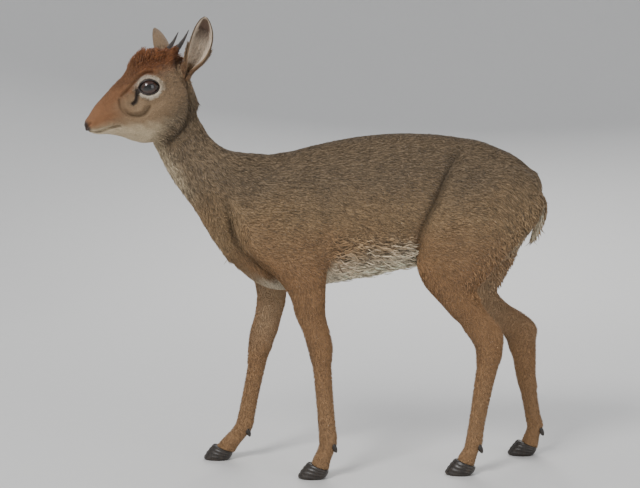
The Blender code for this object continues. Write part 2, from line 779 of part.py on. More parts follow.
def claw_mesh(toe, middle, sign):
    """One claw: its sole is flat on the floor, its inner side is straight and its outer side is round."""
    slope = (CORONET_HEEL[1] - CORONET_FRONT[1]) / (CORONET_HEEL[0] - CORONET_FRONT[0])
    grid = []
    for share, front, rear, wide in CLAW_STEPS:
        ring = []
        for i in range(2 * CLAW_ROUND):
            outer = i < CLAW_ROUND
            t = (i + 0.5) / CLAW_ROUND if outer else (2 * CLAW_ROUND - i - 0.5) / CLAW_ROUND
            bulge = (1 - abs(1 - t / 0.6) ** 2.0) ** 0.6 if t < 0.6 else (1 - ((t - 0.6) / 0.4) ** 3) ** 0.5
            y = CLEFT / 2 + (CLAW_WIDTH * wide * bulge if outer else 0.12 * CLAW_WIDTH * abs(2 * t - 1) ** 3)
            x = front + (rear - front) * t
            z = share * (CORONET_FRONT[1] + slope * (x - CORONET_FRONT[0]))
            ring.append((toe + x, middle + sign * y, z))
        grid.append(ring)
    return tube_mesh("claw", np.array(grid))


def coronet_plane(foot):
    """The slanting plane between the claws and the skin of a foot."""
    toe, middle = FEET[foot]
    fall = Vector((CORONET_HEEL[0] - CORONET_FRONT[0], 0, CORONET_HEEL[1] - CORONET_FRONT[1]))
    upwards = fall.cross(Vector((0, 1, 0))).normalized()
    return Vector((toe + CORONET_FRONT[0], middle, CORONET_FRONT[1])), upwards


def dewclaw_meshes(limb, side):
    """Two small claws behind the fetlock."""
    joints = FORE_JOINTS[side] if limb == "foreleg" else HIND_JOINTS[side]
    fetlock = Vector(joints[-2])
    pastern = (Vector(joints[-1]) - fetlock).normalized()
    behind = Vector((0, 1, 0)).cross(pastern)
    behind = behind if behind.x > 0 else -behind
    found = []
    for sign in (-1, 1):
        place = fetlock + behind * DEWCLAW_SETBACK + pastern * 4.0 + Vector((0, sign * DEWCLAW_SPREAD, 0))
        tilt = Matrix.Rotation(math.radians(-DEWCLAW_TILT), 4, "Y")
        ball = ball_mesh("dewclaw", (0, 0, 0), DEWCLAW, 6, 5)
        found.append(moved(ball, Matrix.Translation(place) @ tilt))
    return found


def lock_mesh(root, normal, lie, length, width, rise):
    """One flat lock: it leaves the skin at the rise angle, bends down along its lie, and narrows to its
    tip."""
    normal, lie = Vector(normal).normalized(), Vector(lie)
    lie = (lie - normal * lie.dot(normal)).normalized()
    side = normal.cross(lie)
    place = Vector(root) - normal * LOCK_SUNK - lie * LOCK_SUNK * 0.6
    grid = []
    for i in range(LOCK_STEPS):
        share = i / (LOCK_STEPS - 1)
        angle = math.radians(rise * (1.25 - 0.9 * share))
        ahead = lie * math.cos(angle) + normal * math.sin(angle)
        above = normal * math.cos(angle) - lie * math.sin(angle)
        half = width / 2 * (1.0 - share ** 1.8) ** 0.75 * (0.8 + 0.4 * math.sin(math.pi * share)) + 0.25
        thick = 1.7 * (1 - share) + 0.4
        grid.append([tuple(place + side * half), tuple(place + above * thick), tuple(place - side * half)])
        place = place + ahead * (length + LOCK_SUNK) / (LOCK_STEPS - 1)
    return tube_mesh("lock", np.array(grid))


def crown_locks(finder):
    """Rows of locks across the crown, from the forehead to the nape, swept back between the horns."""
    draw = np.random.default_rng(SEED)
    locks = []
    for row in range(CROWN_ROWS):
        share = row / (CROWN_ROWS - 1)
        x = CROWN_FRONT + (CROWN_BACK - CROWN_FRONT) * share
        half = CROWN_HALF_WIDTH * (0.55 + 0.45 * math.sin(math.pi * min(share + 0.25, 1.0)))
        count = 3 + row % 2
        for i in range(count):
            y = half * (2 * (i + 0.5) / count - 1) + draw.uniform(-0.8, 0.8)
            root, normal = finder((x + draw.uniform(-1.5, 1.5), y, 60.0))
            lie = Vector((1.0, 0.018 * y + draw.uniform(-0.2, 0.2), 0.0))
            size = draw.uniform(0.85, 1.15) * (0.55 + 0.5 * math.sqrt(share))
            rise = CROWN_RISE * draw.uniform(0.8, 1.2) * (0.55 + 0.55 * share)
            locks.append(lock_mesh(root, normal, lie, CROWN_LENGTH * size, LOCK_WIDTH, rise))
    return [moved(lock, head_frame()) for lock in locks]


def tail_locks():
    """Rings of locks round the outer side of the tail, pointing down past its tip."""
    draw = np.random.default_rng(SEED + 1)
    rows = smooth_rows([(x, 0, z, thick, half) for x, z, thick, half in TAIL], TAIL_ROWS + 2)
    locks = []
    for row in range(1, TAIL_ROWS + 1):
        x, _, z, thick, half = rows[row]
        ahead = Vector(rows[row + 1][:3] - rows[row - 1][:3]).normalized()
        behind = Vector((0, 1, 0)).cross(ahead) * -1
        for i in range(3):
            turn = math.radians(-50 + 44 * i + 22 * (row % 2) - 5) + draw.uniform(-0.08, 0.08)
            out = Vector((0, 1, 0)) * math.sin(turn) + behind * math.cos(turn)
            root = Vector((x, half * math.sin(turn), z)) + behind * thick * math.cos(turn)
            length = TAIL_LENGTH * draw.uniform(0.85, 1.1)
            rise = TAIL_RISE * draw.uniform(0.7, 1.2)
            locks.append(lock_mesh(root, out, ahead, length, LOCK_WIDTH * 1.25, rise))
    return locks


def clear_of(mesh, others):
    """The mesh cut back from what it would cross, by the gap."""
    for other in others:
        mesh = boolean(mesh, grown(other), "DIFFERENCE")
    return mesh


def with_locks(mesh, locks):
    """The mesh joined to all its locks by one union."""
    group = bpy.data.collections.new("locks")
    objects = [bpy.data.objects.new("lock", lock) for lock in locks]
    for obj in objects:
        group.objects.link(obj)
    bpy.data.collections["helpers"].children.link(group)
    joined = shape_through(mesh, "BOOLEAN", operation="UNION", operand_type="COLLECTION",
                           collection=group, solver="MANIFOLD")
    for obj in objects:
        bpy.data.objects.remove(obj)
    bpy.data.collections.remove(group)
    return joined


def tail_mesh():
    """A short tail that hangs close to the rump."""
    rows = [(x, 0, z, thick, thick, half, 0.0) for x, z, thick, half in TAIL]
    return tube_mesh("tail", loft(rows, 12, 12))


# Parting the flesh into nodes

def limb_block(limb, extra=0.0):
    """What a limb takes from the flesh. A little extra makes the gap that the torso keeps to it."""
    sign = SIDES[limb.rsplit("_", 1)[1]]
    outline = np.array(LIMB_OUTLINES[limb], float)
    centre = outline.mean(0)
    ahead = np.roll(outline, -1, axis=0) - np.roll(outline, 1, axis=0)
    out = np.stack([ahead[:, 1], -ahead[:, 0]], axis=1)
    out /= np.linalg.norm(out, axis=1)[:, None]
    turned = np.sum(outline[:, 0] * (np.roll(outline[:, 1], -1) - np.roll(outline[:, 1], 1)))
    outline = outline + out * extra * (1 if turned > 0 else -1)
    depth = LIMB_DEPTH[limb.rsplit("_", 1)[0]] - extra
    low, high = sorted((sign * depth, sign * FAR / 2))
    return prism_mesh(limb, outline, low, high)


def add_limb(limb, body, pieces):
    """One leg in three nodes, with its claws and dewclaws."""
    kind, side = limb.rsplit("_", 1)
    joints = np.array((FORE_JOINTS if kind == "foreleg" else HIND_JOINTS)[side], float)
    flesh = boolean(body, limb_block(limb), "INTERSECT")
    cuts = []
    for place in LIMB_SPLITS[kind]:
        first = int(place)
        step = joints[first + 1] - joints[first]
        cuts.append((Vector(joints[first] + step * (place - first)), Vector(step).normalized()))
    point, upwards = coronet_plane(limb)
    cuts.append((point, -upwards))
    meshes = []
    for i, part in enumerate(LIMB_PARTS):
        mesh = flesh
        if i > 0:
            mesh = boolean(mesh, slab_mesh("cutter", cuts[i - 1][0], cuts[i - 1][1], GAP / 2), "INTERSECT")
        back = GAP if part == "foot" else GAP / 2
        mesh = boolean(mesh, slab_mesh("cutter", cuts[i][0], -cuts[i][1], back), "INTERSECT")
        meshes.append(largest_body(mesh))
    for i, dewclaw in enumerate(dewclaw_meshes(kind, side)):
        meshes[2] = boolean(meshes[2], grown(dewclaw), "DIFFERENCE")
        meshes[1] = boolean(meshes[1], grown(dewclaw), "DIFFERENCE")
        pieces.append((f"dewclaw_{limb}_{i + 1}", dewclaw, "hoof"))
    for part, mesh in zip(LIMB_PARTS, meshes):
        pieces.append((f"{limb}_{part}", mesh, "rufous_coat"))
    for i, sign in enumerate((-1, 1)):
        pieces.append((f"claw_{limb}_{i + 1}", claw_mesh(*FEET[limb], sign), "hoof"))


def centre_over_floor():
    """Moves all the nodes together, so that the middle of the animal's box stands over the origin."""
    nodes = bpy.data.collections["dik_dik"].objects
    points = np.vstack([points_of(node.data) for node in nodes])
    middle = (points.min(0) + points.max(0)) / 2
    for node in nodes:
        node.data.transform(Matrix.Translation((-middle[0], -middle[1], 0.0)))


def build():
    """Every node of the animal."""
    body = fewer(fuse(body_grids() + [head_grid()], BODY_GRAIN), BODY_TRIANGLES)
    face = shaped_head(fuse([head_grid(), body_grids()[1]], HEAD_GRAIN))
    finder = surface_finder(face)
    face = fewer(face, HEAD_TRIANGLES)
    pieces = []

    head = boolean(face, slab_mesh("cutter", *HEAD_CUT, GAP / 2), "INTERSECT")
    for cutter in head_cutters(finder):
        head = boolean(head, cutter, "DIFFERENCE")
    head = with_locks(largest_body(head), crown_locks(finder))
    for side, sign in SIDES.items():
        ear, horn, eye = ear_mesh(side), horn_mesh(sign), eye_mesh(sign)
        head = boolean(head, grown(ear), "DIFFERENCE")
        head = boolean(head, grown(horn), "DIFFERENCE")
        pieces += [(f"ear_{side}", ear, "coat"), (f"horn_{side}", horn, "horn"), (f"eye_{side}", eye, "eye")]
    pieces.append(("head", head, "rufous_coat"))

    below_head = slab_mesh("cutter", HEAD_CUT[0], -Vector(HEAD_CUT[1]), GAP / 2)
    neck = boolean(body, below_head, "INTERSECT")
    neck = boolean(neck, slab_mesh("cutter", *NECK_CUT, GAP / 2), "INTERSECT")
    torso = boolean(body, slab_mesh("cutter", NECK_CUT[0], -Vector(NECK_CUT[1]), GAP / 2), "INTERSECT")
    for limb in LIMB_OUTLINES:
        neck = boolean(neck, limb_block(limb, GAP), "DIFFERENCE")
        torso = boolean(torso, limb_block(limb, GAP), "DIFFERENCE")
        add_limb(limb, body, pieces)
    tail = tail_mesh()
    torso = boolean(torso, grown(tail), "DIFFERENCE")
    neighbours = [torso] + [mesh for name, mesh, _ in pieces if name.startswith("hind") and "upper" in name]
    tail = with_locks(tail, [clear_of(lock, neighbours) for lock in tail_locks()])
    pieces += [("neck", neck, "coat"), ("torso", torso, "coat"), ("tail", tail, "coat")]
    for name, mesh, finish in pieces:
        add_node(name, mesh, finish)
    centre_over_floor()


def main():
    for obj in list(bpy.data.objects):
        bpy.data.objects.remove(obj)
    for name in ("dik_dik", "helpers"):
        made = bpy.data.collections.new(name)
        bpy.context.scene.collection.children.link(made)
    build()


if __name__ == "__main__":
    main()
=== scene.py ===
import math

import bpy
import numpy as np
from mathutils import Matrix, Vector


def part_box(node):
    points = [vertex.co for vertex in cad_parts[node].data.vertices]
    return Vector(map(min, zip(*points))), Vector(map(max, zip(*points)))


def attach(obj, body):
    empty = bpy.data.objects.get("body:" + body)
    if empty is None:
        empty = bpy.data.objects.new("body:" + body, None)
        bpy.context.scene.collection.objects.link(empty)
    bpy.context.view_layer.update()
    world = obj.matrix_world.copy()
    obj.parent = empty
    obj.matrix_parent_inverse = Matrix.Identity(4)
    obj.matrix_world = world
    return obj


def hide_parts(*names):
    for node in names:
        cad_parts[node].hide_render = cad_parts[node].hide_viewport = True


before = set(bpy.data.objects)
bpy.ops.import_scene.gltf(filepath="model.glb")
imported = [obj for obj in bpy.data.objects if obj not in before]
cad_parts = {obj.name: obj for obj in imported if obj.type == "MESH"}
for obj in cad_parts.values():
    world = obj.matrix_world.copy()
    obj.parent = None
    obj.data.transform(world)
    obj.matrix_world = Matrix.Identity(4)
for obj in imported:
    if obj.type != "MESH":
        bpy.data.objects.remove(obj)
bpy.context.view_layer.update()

bl_info = {
    "name": "Dik-dik",
    "version": (1, 0, 0),
    "blender": (4, 5, 0),
    "location": "View3D > Sidebar > Dik-dik",
    "description": "A life-size dik-dik antelope: skin, coat, ears, eyes, horns and hooves over its solids",
    "category": "Object",
}

# Lengths are millimetres in the animal's own frame: it faces -X, its left side is towards -Y.
MM = 0.001
SIDES = {"left": -1, "right": 1}
LIMBS = ("foreleg_left", "foreleg_right", "hind_leg_left", "hind_leg_right")

# Each row of the trunk is one upright section: x along the back, height of its centre,
# reach above it and below it, half width, and how much narrower the top is than the bottom.
TRUNK = (
    (-108, 300, 18, 22, 15, 0.0), (-98, 297, 44, 46, 30, 0.05), (-80, 293, 67, 64, 42, 0.1),
    (-55, 290, 78, 79, 48, 0.14), (-25, 290, 80, 80.5, 51, 0.16), (12, 298, 81, 78.8, 53, 0.14),
    (50, 304, 82.5, 77.2, 56, 0.1), (85, 308, 82, 74.3, 57, 0.06), (118, 310, 80, 72, 55, 0.06),
    (150, 312, 76, 68, 50, 0.06), (190, 316, 66, 58, 43, 0.08), (216, 318, 51.5, 50, 37, 0.08),
    (240, 316, 33, 40, 29, 0.05), (254, 312, 19, 26, 19, 0.0),
)
# Each row of the neck joins its nape to its throat: x and z of both, y, and the half width.
NECK = (
    (-30, 362, -107, 241.5, 0, 42), (-62, 366, -126.5, 270, 0, 42), (-88, 368, -142.5, 296, 0, 40),
    (-104, 371, -157.3, 317, -1, 35), (-116, 379, -170, 336, -2, 30.5), (-126.5, 390, -181, 356, -4, 28),
    (-132, 401, -188, 373, -6, 27), (-141.5, 417, -190, 392, -7, 26.5), (-148, 434, -188, 414, -8, 26),
    (-155, 446, -182, 434, -8, 22),
)
# The head has its own frame: x from the nose back, y to its right, z towards its crown. Its rows are as the
# trunk's, and its joint is where that frame's zero lies. Yaw and pitch are in degrees.
HEAD_JOINT = (-160.0, -8.0, 443.5)
HEAD_YAW = 25.0
HEAD_PITCH = 21.0
HEAD = (
    (-119.5, -6, 3, 4, 4, 0.0), (-116, -7, 8, 7, 8.5, 0.05), (-108, -7, 13, 13, 11.5, 0.1),
    (-96, -6, 19.3, 18.5, 14, 0.15), (-82, -6, 26.4, 26, 18, 0.18), (-68, -7, 34.5, 35, 23.5, 0.2),
    (-55, -8, 41, 41, 29, 0.15), (-42, -8, 46.5, 43, 32, 0.1), (-28, -6, 51, 44, 32, 0.09),
    (-14, -4, 51, 42, 31, 0.08), (-2, 0, 44.5, 37, 28, 0.04), (5.5, 3, 33, 27, 22, 0.0),
    (10.5, 4, 16, 14, 12, 0.0),
)
# The eye's places are for the right side. The left side mirrors them.
EYE_CENTRE = (-42.5, 20.5, 9.6)
EYE_RADIUS = 12.0
EYE_AXIS = (-0.3, 0.94, 0.14)
EYE_CORNERS = ((-53.8, 13.2), (-30.5, 7.0))
EYE_OPENING = 15.4
# Joints of the limbs: wrist or hock, fetlock and the end of the pastern come last.
FORE_JOINTS = {
    "left": ((-20, -43, 225), (-3, -45, 150), (5.4, -45, 42), (-4, -45, 15)),
    "right": ((-50, 43, 215), (-68.3, 45, 136), (-87.8, 46, 42), (-108.5, 46, 16)),
}
HIND_JOINTS = {
    "left": ((126, -44, 240), (191.5, -42, 152), (173, -41, 38), (162.5, -41, 15)),
    "right": ((160, 42, 226), (243.5, 41, 146), (263.5, 41, 36), (256.5, 41, 15)),
}
# Level sections of the upper limbs: height, front, rear, y and half width.
SHOULDER = {"left": (
    (352, -46, -16, -20, 5), (338, -60, -10, -25, 11), (320, -75, -6, -29, 16), (300, -88, -2, -32, 19.5),
    (283, -96, 1, -34.5, 21), (268, -95, 3, -37, 21.5), (254, -86, 5, -39.5, 21), (240, -70, 6, -41.5, 20),
    (228, -54, 5, -43, 19), (215, -43, 4.1, -44, 18), (203, -36.1, 3.6, -45, 16.5),
    (185, -31.2, 3.7, -45, 14), (167, -23.3, 8.1, -45, 12.8), (150, -17.8, 11.5, -45, 11.8),
    (132, -13.3, 10.4, -45, 10.2),
), "right": (
    (352, -50, -20, 20, 5), (338, -66, -14, 25, 11), (320, -82, -10, 29, 16), (300, -96, -8, 32, 19.5),
    (283, -105, -8, 34.5, 21), (268, -106, -10, 37, 21.5), (254, -101, -14, 39.5, 21),
    (240, -93, -19, 41.5, 20), (228, -86, -25, 43, 19), (215, -76.7, -31, 44.5, 18),
    (201, -73, -36, 45, 16.2), (188, -73, -37.5, 45, 14.5), (172, -75.5, -42.2, 45, 13.2),
    (153, -80.8, -47.4, 45, 12), (134, -82.8, -55.4, 45, 10.8), (115, -84.1, -61.3, 45.3, 9.4),
)}
THIGH = {"left": (
    (352, 190, 226, -24, 11), (344, 172, 239, -25, 18), (330, 152, 249, -27, 25), (312, 132, 252, -29, 29),
    (292, 119, 245.5, -31, 30.5), (275, 110.5, 232, -34, 30), (262, 106, 218, -37, 28.5),
    (250, 104.5, 204.5, -40, 26), (238, 105.3, 192.1, -42, 23.5), (226, 109.4, 181.4, -43.5, 20.5),
    (215, 115.9, 173.3, -44, 18), (204, 125.8, 177.2, -44, 16.3), (193, 136.1, 182.9, -43.5, 15),
    (182, 145.8, 191.2, -43, 14), (173, 155.7, 199.6, -42.5, 13.2), (164, 161.3, 204.8, -42, 12.4),
    (155, 168.1, 206.4, -42, 11.7), (145.5, 173.3, 205.5, -42, 11.1), (136, 174.6, 204.4, -42, 10.6),
    (127, 175, 201.8, -41.5, 10), (118, 176.7, 199.1, -41, 9.2), (108, 174.6, 196.4, -41, 8.6),
    (96, 173.5, 193, -41, 8.2), (84, 171.6, 189.8, -41, 7.8),
), "right": (
    (350, 194, 228, 24, 11), (342, 180, 238, 25, 18), (328, 162, 251, 27, 24.5), (312, 150, 256.5, 28, 28),
    (292, 142, 257, 29.5, 29.5), (275, 138, 250.5, 32, 29.5), (262, 134, 244, 35, 28),
    (250, 134.5, 238.5, 38, 25.5), (238, 139, 233.5, 40, 23), (226, 143, 226.3, 41, 20.5),
    (214, 149, 220.8, 42, 18), (203, 159, 215, 42, 16.3), (193, 169.5, 221, 42, 15),
    (183, 180.5, 231.8, 42, 14), (174, 191, 247.4, 41.5, 13.2), (165, 202.5, 258.9, 41, 12.4),
    (157, 213, 264.9, 41, 11.7), (149, 222, 265.5, 41, 11.1), (140, 228, 264, 41, 10.6),
    (130, 231.2, 264.2, 41, 10), (121, 235, 264.3, 41, 9.3), (110, 237.7, 264.3, 41, 8.7),
    (96, 240.3, 264.6, 41, 8.3), (82, 244, 267, 41, 7.9),
)}
# Along a lower limb: joint number and share of the way to the next, reach behind and in front, half width.
FORE_PROFILE = (
    (0.8, 15, 14.5, 11.5), (1.0, 14, 13, 11.5), (1.12, 11.5, 11.2, 10), (1.3, 11, 10, 8.6),
    (1.6, 10.4, 9.4, 8.0), (1.86, 10.8, 9.4, 8.3), (2.0, 11, 10, 9.6), (2.35, 11, 7.7, 9.2),
    (2.75, 11, 8.8, 10), (3.1, 12.5, 9.6, 11), (3.45, 12.5, 9.8, 11),
)
HIND_PROFILE = (
    (1.02, 14, 12, 10.6), (1.12, 13, 12, 10), (1.2, 12, 11.5, 9.5), (1.4, 11.4, 11, 8.5),
    (1.7, 9.8, 9.6, 7.7), (1.9, 9.6, 9.2, 8.1), (2.0, 10.8, 9.2, 9.2), (2.4, 10.2, 7.2, 8.9),
    (2.75, 11.6, 7.8, 9.8), (3.1, 13, 8.6, 10.8), (3.45, 13, 9.2, 11),
)

# Hooves: the toe's x and the middle between the two claws. The coronet falls from its front to the heel.
FEET = {
    "foreleg_left": (-28.6, -45.0),
    "foreleg_right": (-136.6, 46.0),
    "hind_leg_left": (140.0, -41.0),
    "hind_leg_right": (231.0, 41.0),
}
CORONET_FRONT = (12.3, 18.0)
CORONET_HEEL = (35.0, 9.0)
CLAW_WIDTH = 11.3
CLEFT = 1.4
# Up a claw: share of its height, front, rear, and share of its width.
CLAW_STEPS = ((0.0, 1.4, 29.4, 0.9), (0.1, 0.2, 31.0, 0.96), (0.3, 2.4, 33.0, 1.0),
              (0.62, 6.8, 34.6, 1.0), (1.0, 12.1, 35.4, 0.97))
# A dewclaw's half sizes, how far apart and how far back the two stand, and their tilt in degrees.
DEWCLAW = (3.2, 3.0, 5.6)
DEWCLAW_SPREAD = 6.2
DEWCLAW_SETBACK = 9.5
DEWCLAW_TILT = 22.0

# Horns and ears, on the right side of the head's frame.
HORN_BASE = (-4.0, 14.0, 33.0)
HORN_TIP = (27.6, 15.0, 52.6)
HORN_RADIUS = 4.2
HORN_TIP_RADIUS = 0.7
HORN_BEND = 2.0
HORN_RINGS = 6
EAR_BASE = (8.5, 24.0, 15.0)
EAR_TIPS = {"left": (30.0, 65.0, 62.5), "right": (22.6, 65.0, 62.8)}
EAR_FACING = (-0.608, 0.72, -0.334)
EAR_SWEEP = {"left": 4.0, "right": 0.5}
# Along the ear: share of its length, half width, and half the angle that its cup goes round, in degrees.
EAR_ROWS = ((0.0, 6.5, 150), (0.12, 8.0, 132), (0.28, 10.6, 104), (0.45, 12.2, 86), (0.62, 12.2, 72),
            (0.78, 10.2, 62), (0.9, 6.8, 52), (0.97, 3.6, 42), (1.0, 1.4, 32))
# Down the tail: x and z of its middle, its reach each way and its half width.
TAIL = (
    (231, 335, 5, 7), (247, 327, 5.5, 8.5), (256.5, 313, 5.5, 9.5), (258.5, 298, 5, 9), (255, 284, 3.6, 7),
    (250, 272, 2.4, 4.5), (246, 264, 1.2, 2),
)

# Plain numbers and curves

def linear(code):
    """An sRGB hex colour as linear values: each channel goes through the standard sRGB curve."""
    srgb = np.array([int(code[i:i + 2], 16) / 255 for i in (0, 2, 4)])
    return np.where(srgb <= 0.04045, srgb / 12.92, ((srgb + 0.055) / 1.055) ** 2.4)


def ramp(values, low, high):
    """0 below low, 1 above high, and the smooth cubic 3t^2 - 2t^3 between. Low may be the larger one."""
    t = np.clip((values - low) / (high - low), 0, 1)
    return t * t * (3 - 2 * t)


def mixed(first, second, share):
    """Two colours or vectors blended row by row."""
    share = np.asarray(share)[..., None]
    return first * (1 - share) + second * share


def circle(steps):
    """Even angles once round, from nought."""
    return np.linspace(0, 2 * np.pi, steps, endpoint=False)


def painted(colour, hues, *coats):
    """A colour with hues laid over it in turn, each given by its name and share."""
    for name, share in coats:
        colour = mixed(colour, hues[name], share)
    return colour


def unit(vectors):
    """Each row divided by its own length."""
    return vectors / np.maximum(np.linalg.norm(vectors, axis=-1, keepdims=True), 1e-9)


def in_surface(lie, facing):
    """Directions laid in the surface that faces so, at length one."""
    return unit(lie - facing * np.sum(lie * facing, axis=1)[:, None])


def laid(direction, facing, draw, loose):
    """Directions, one or one for each root, loosened by chance and laid in the surface."""
    lie = unit(np.broadcast_to(direction, facing.shape) + draw.normal(0, loose, facing.shape))
    return in_surface(lie, facing)


# The sum of five waves is seldom more than this.
WAVES_PEAK = 3.2


def waves(points, size, seed):
    """Soft noise from about -1 to 1: five sine waves of about the given size in random directions, added up
    and divided by their usual peak."""
    draw = np.random.default_rng(seed)
    total = np.zeros(len(points))
    for _ in range(5):
        direction = unit(draw.normal(size=3)) / size * draw.uniform(4.0, 9.0)
        total += np.sin(points @ direction + draw.uniform(0, 2 * np.pi))
    return total / WAVES_PEAK


def smooth_rows(rows, count):
    """Rows at even steps along a Catmull-Rom spline through all the given rows."""
    rows = np.array(rows, float)
    gaps = np.linalg.norm(np.diff(rows[:, :3], axis=0), axis=1)
    place = np.concatenate([[0], np.cumsum(np.sqrt(np.maximum(gaps, 1e-6)))])
    padded = np.vstack([2 * rows[0] - rows[1], rows, 2 * rows[-1] - rows[-2]])
    at = np.linspace(0, place[-1], count)
    cell = np.clip(np.searchsorted(place, at, side="right") - 1, 0, len(rows) - 2)
    t = ((at - place[cell]) / (place[cell + 1] - place[cell]))[:, None]
    a, b, c, d = (padded[cell + i] for i in range(4))
    return 0.5 * (2 * b + (c - a) * t + (2 * a - 5 * b + 4 * c - d) * t**2 + (3 * b - a - 3 * c + d) * t**3)


def near_path(points, path, steps=40):
    """How far each point is from a curve, and how far along it the nearest place is, from 0 to 1."""
    run = smooth_rows([(*p, 0) for p in path], steps)[:, :3]
    best = np.full(len(points), 1e9)
    along = np.zeros(len(points))
    for i, place in enumerate(run):
        away = np.linalg.norm(points - place, axis=1)
        closer = away < best
        best[closer], along[closer] = away[closer], i / (steps - 1)
    return best, along


def loft(rows, rings, around, level=False):
    """Points of a closed tube: each ring is an egg-shaped section set square to the line of centres, or
    level. A row is x, y, z, reach one way, reach the other, half width, and how much narrower the top is."""
    run = smooth_rows(rows, rings)
    along = np.tile((0.0, 0.0, -1.0), (rings, 1)) if level else unit(np.gradient(run[:, :3], axis=0))
    side = unit(np.array((0.0, 1.0, 0.0)) - along * along[:, 1:2])
    up = np.cross(along, side)
    angle = circle(around)
    rise, spread = np.sin(angle), np.cos(angle)
    reach = np.where(rise > 0, run[:, 3:4], run[:, 4:5]) * rise
    width = run[:, 5:6] * spread * (1 - run[:, 6:7] * rise)
    return run[:, None, :3] + reach[..., None] * up[:, None] + width[..., None] * side[:, None]


# The head's frame

def tilted(degrees):
    """The rotation about the Y axis."""
    angle = math.radians(degrees)
    return np.array([[math.cos(angle), 0, math.sin(angle)], [0, 1, 0], [-math.sin(angle), 0, math.cos(angle)]])


def head_turn():
    """The head's rotation: its nose is pitched down, and then it is turned to the animal's left."""
    yaw = math.radians(HEAD_YAW)
    round_z = np.array([[math.cos(yaw), -math.sin(yaw), 0], [math.sin(yaw), math.cos(yaw), 0], [0, 0, 1]])
    return round_z @ tilted(-HEAD_PITCH)


HEAD_TURN = head_turn()


def from_head(points):
    """From the head's frame to the animal's own."""
    return np.asarray(points, float) @ HEAD_TURN.T + HEAD_JOINT


def to_head(points):
    """From the animal's own frame to the head's."""
    return (np.asarray(points, float) - HEAD_JOINT) @ HEAD_TURN


def near_side(local):
    """Points in the head's frame, with those of its left side mirrored to the right."""
    return np.stack([local[:, 0], np.abs(local[:, 1]), local[:, 2]], 1)


def frame_shift():
    """How far centring moved the solids: where the eyes were made, less where they are."""
    moves = []
    for side, sign in SIDES.items():
        made = from_head(np.array(EYE_CENTRE) * (1, sign, 1)) * MM
        moves.append(made - np.array(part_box("eye_" + side)).mean(axis=0))
    shift = np.mean(moves, axis=0)
    shift[2] = 0.0
    return shift


SHIFT = frame_shift()


def placed(points):
    """From the animal's own frame in millimetres to the part's frame in metres."""
    return np.asarray(points, float) * MM - SHIFT


def own(points):
    """From the part's frame in metres to the animal's own frame in millimetres."""
    return (np.asarray(points, float) + SHIFT) / MM


# Meshes and materials

def new_mesh(name, points, faces):
    """A mesh of whole arrays. Faces is one array of triangles or quads, or a list of such arrays."""
    groups = faces if isinstance(faces, list) else [faces]
    sides = np.concatenate([np.full(len(g), g.shape[1], np.int32) for g in groups])
    corners = np.concatenate([np.asarray(g, np.int32).ravel() for g in groups])
    mesh = bpy.data.meshes.new(name)
    mesh.vertices.add(len(points))
    mesh.vertices.foreach_set("co", np.asarray(points, np.float32).ravel())
    mesh.loops.add(len(corners))
    mesh.loops.foreach_set("vertex_index", corners)
    mesh.polygons.add(len(sides))
    mesh.polygons.foreach_set("loop_start", np.concatenate([[0], np.cumsum(sides)[:-1]]).astype(np.int32))
    mesh.update(calc_edges=True)
    mesh.shade_smooth()
    return mesh


def grid_faces(rows, columns):
    """Quads between the rows of a grid of points, closed round its columns."""
    i, j = np.meshgrid(np.arange(rows - 1), np.arange(columns), indexing="ij")
    low, high, k = i * columns, (i + 1) * columns, (j + 1) % columns
    return np.stack([low + j, low + k, high + k, high + j], -1).reshape(-1, 4)


def capped_tube(grid):
    """Points and faces of a grid of rings with a fan at each end. Its faces point out where each ring
    turns from the side towards the top and the rings run on from first to last."""
    rings, around = grid.shape[:2]
    points = np.vstack([grid.reshape(-1, 3), grid[0].mean(0), grid[-1].mean(0)])
    j = np.arange(around)
    k = (j + 1) % around
    count, end = rings * around, (rings - 1) * around
    first = np.stack([k, j, np.full(around, count)], 1)
    last = np.stack([end + j, end + k, np.full(around, count + 1)], 1)
    return points, [grid_faces(rings, around), first, last]


def facing_out(points, groups):
    """The same faces, turned over where the volume that they close is negative."""
    volume = 0.0
    for faces in groups:
        a, b, c = (points[faces[:, n]] for n in (0, 1, 2))
        volume += np.sum(a * np.cross(b, c))
        if faces.shape[1] == 4:
            d = points[faces[:, 3]]
            volume += np.sum(a * np.cross(c, d))
    return groups if volume > 0 else [faces[:, ::-1] for faces in groups]


def joined(pieces):
    """Several (points, groups of faces) as one pair of points and faces."""
    points, groups, start = [], [], 0
    for some, faces in pieces:
        points.append(some)
        groups += [np.asarray(g) + start for g in faces]
        start += len(some)
    return np.vstack(points), groups


def new_object(name, data):
    """An object of the scene that holds a mesh, a lamp or a camera."""
    made = bpy.data.objects.new(name, data)
    bpy.context.scene.collection.objects.link(made)
    return made


def add_piece(name, mesh, material, nodes):
    """A finished piece of the animal: it rides on the body and stands for the named solids."""
    piece = new_object(name, mesh)
    mesh.materials.append(material)
    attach(piece, "root")
    if nodes:
        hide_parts(*nodes)


def set_node(tree, node, values):
    """Sets a node's properties or, by name, its inputs. A socket or a node as a value is linked to the input
    of that name or number, a node by its first output. Stops are a colour ramp's places and colours."""
    for key, value in values.items():
        if isinstance(value, bpy.types.Node):
            value = value.outputs[0]
        if isinstance(value, bpy.types.NodeSocket):
            tree.links.new(value, node.inputs[key])
        elif key == "stops":
            for element, (place, colour) in zip(node.color_ramp.elements, value):
                element.position, element.color = place, (*colour, 1)
        elif key in node.inputs:
            node.inputs[key].default_value = value
        else:
            setattr(node, key, value)


def add_node(tree, kind, at, *sources, **values):
    """Adds one node of a material with its settings and links. Sources are linked to its first inputs."""
    made = tree.nodes.new("ShaderNode" + kind)
    made.location = at
    set_node(tree, made, {**values, **dict(enumerate(sources))})
    return made


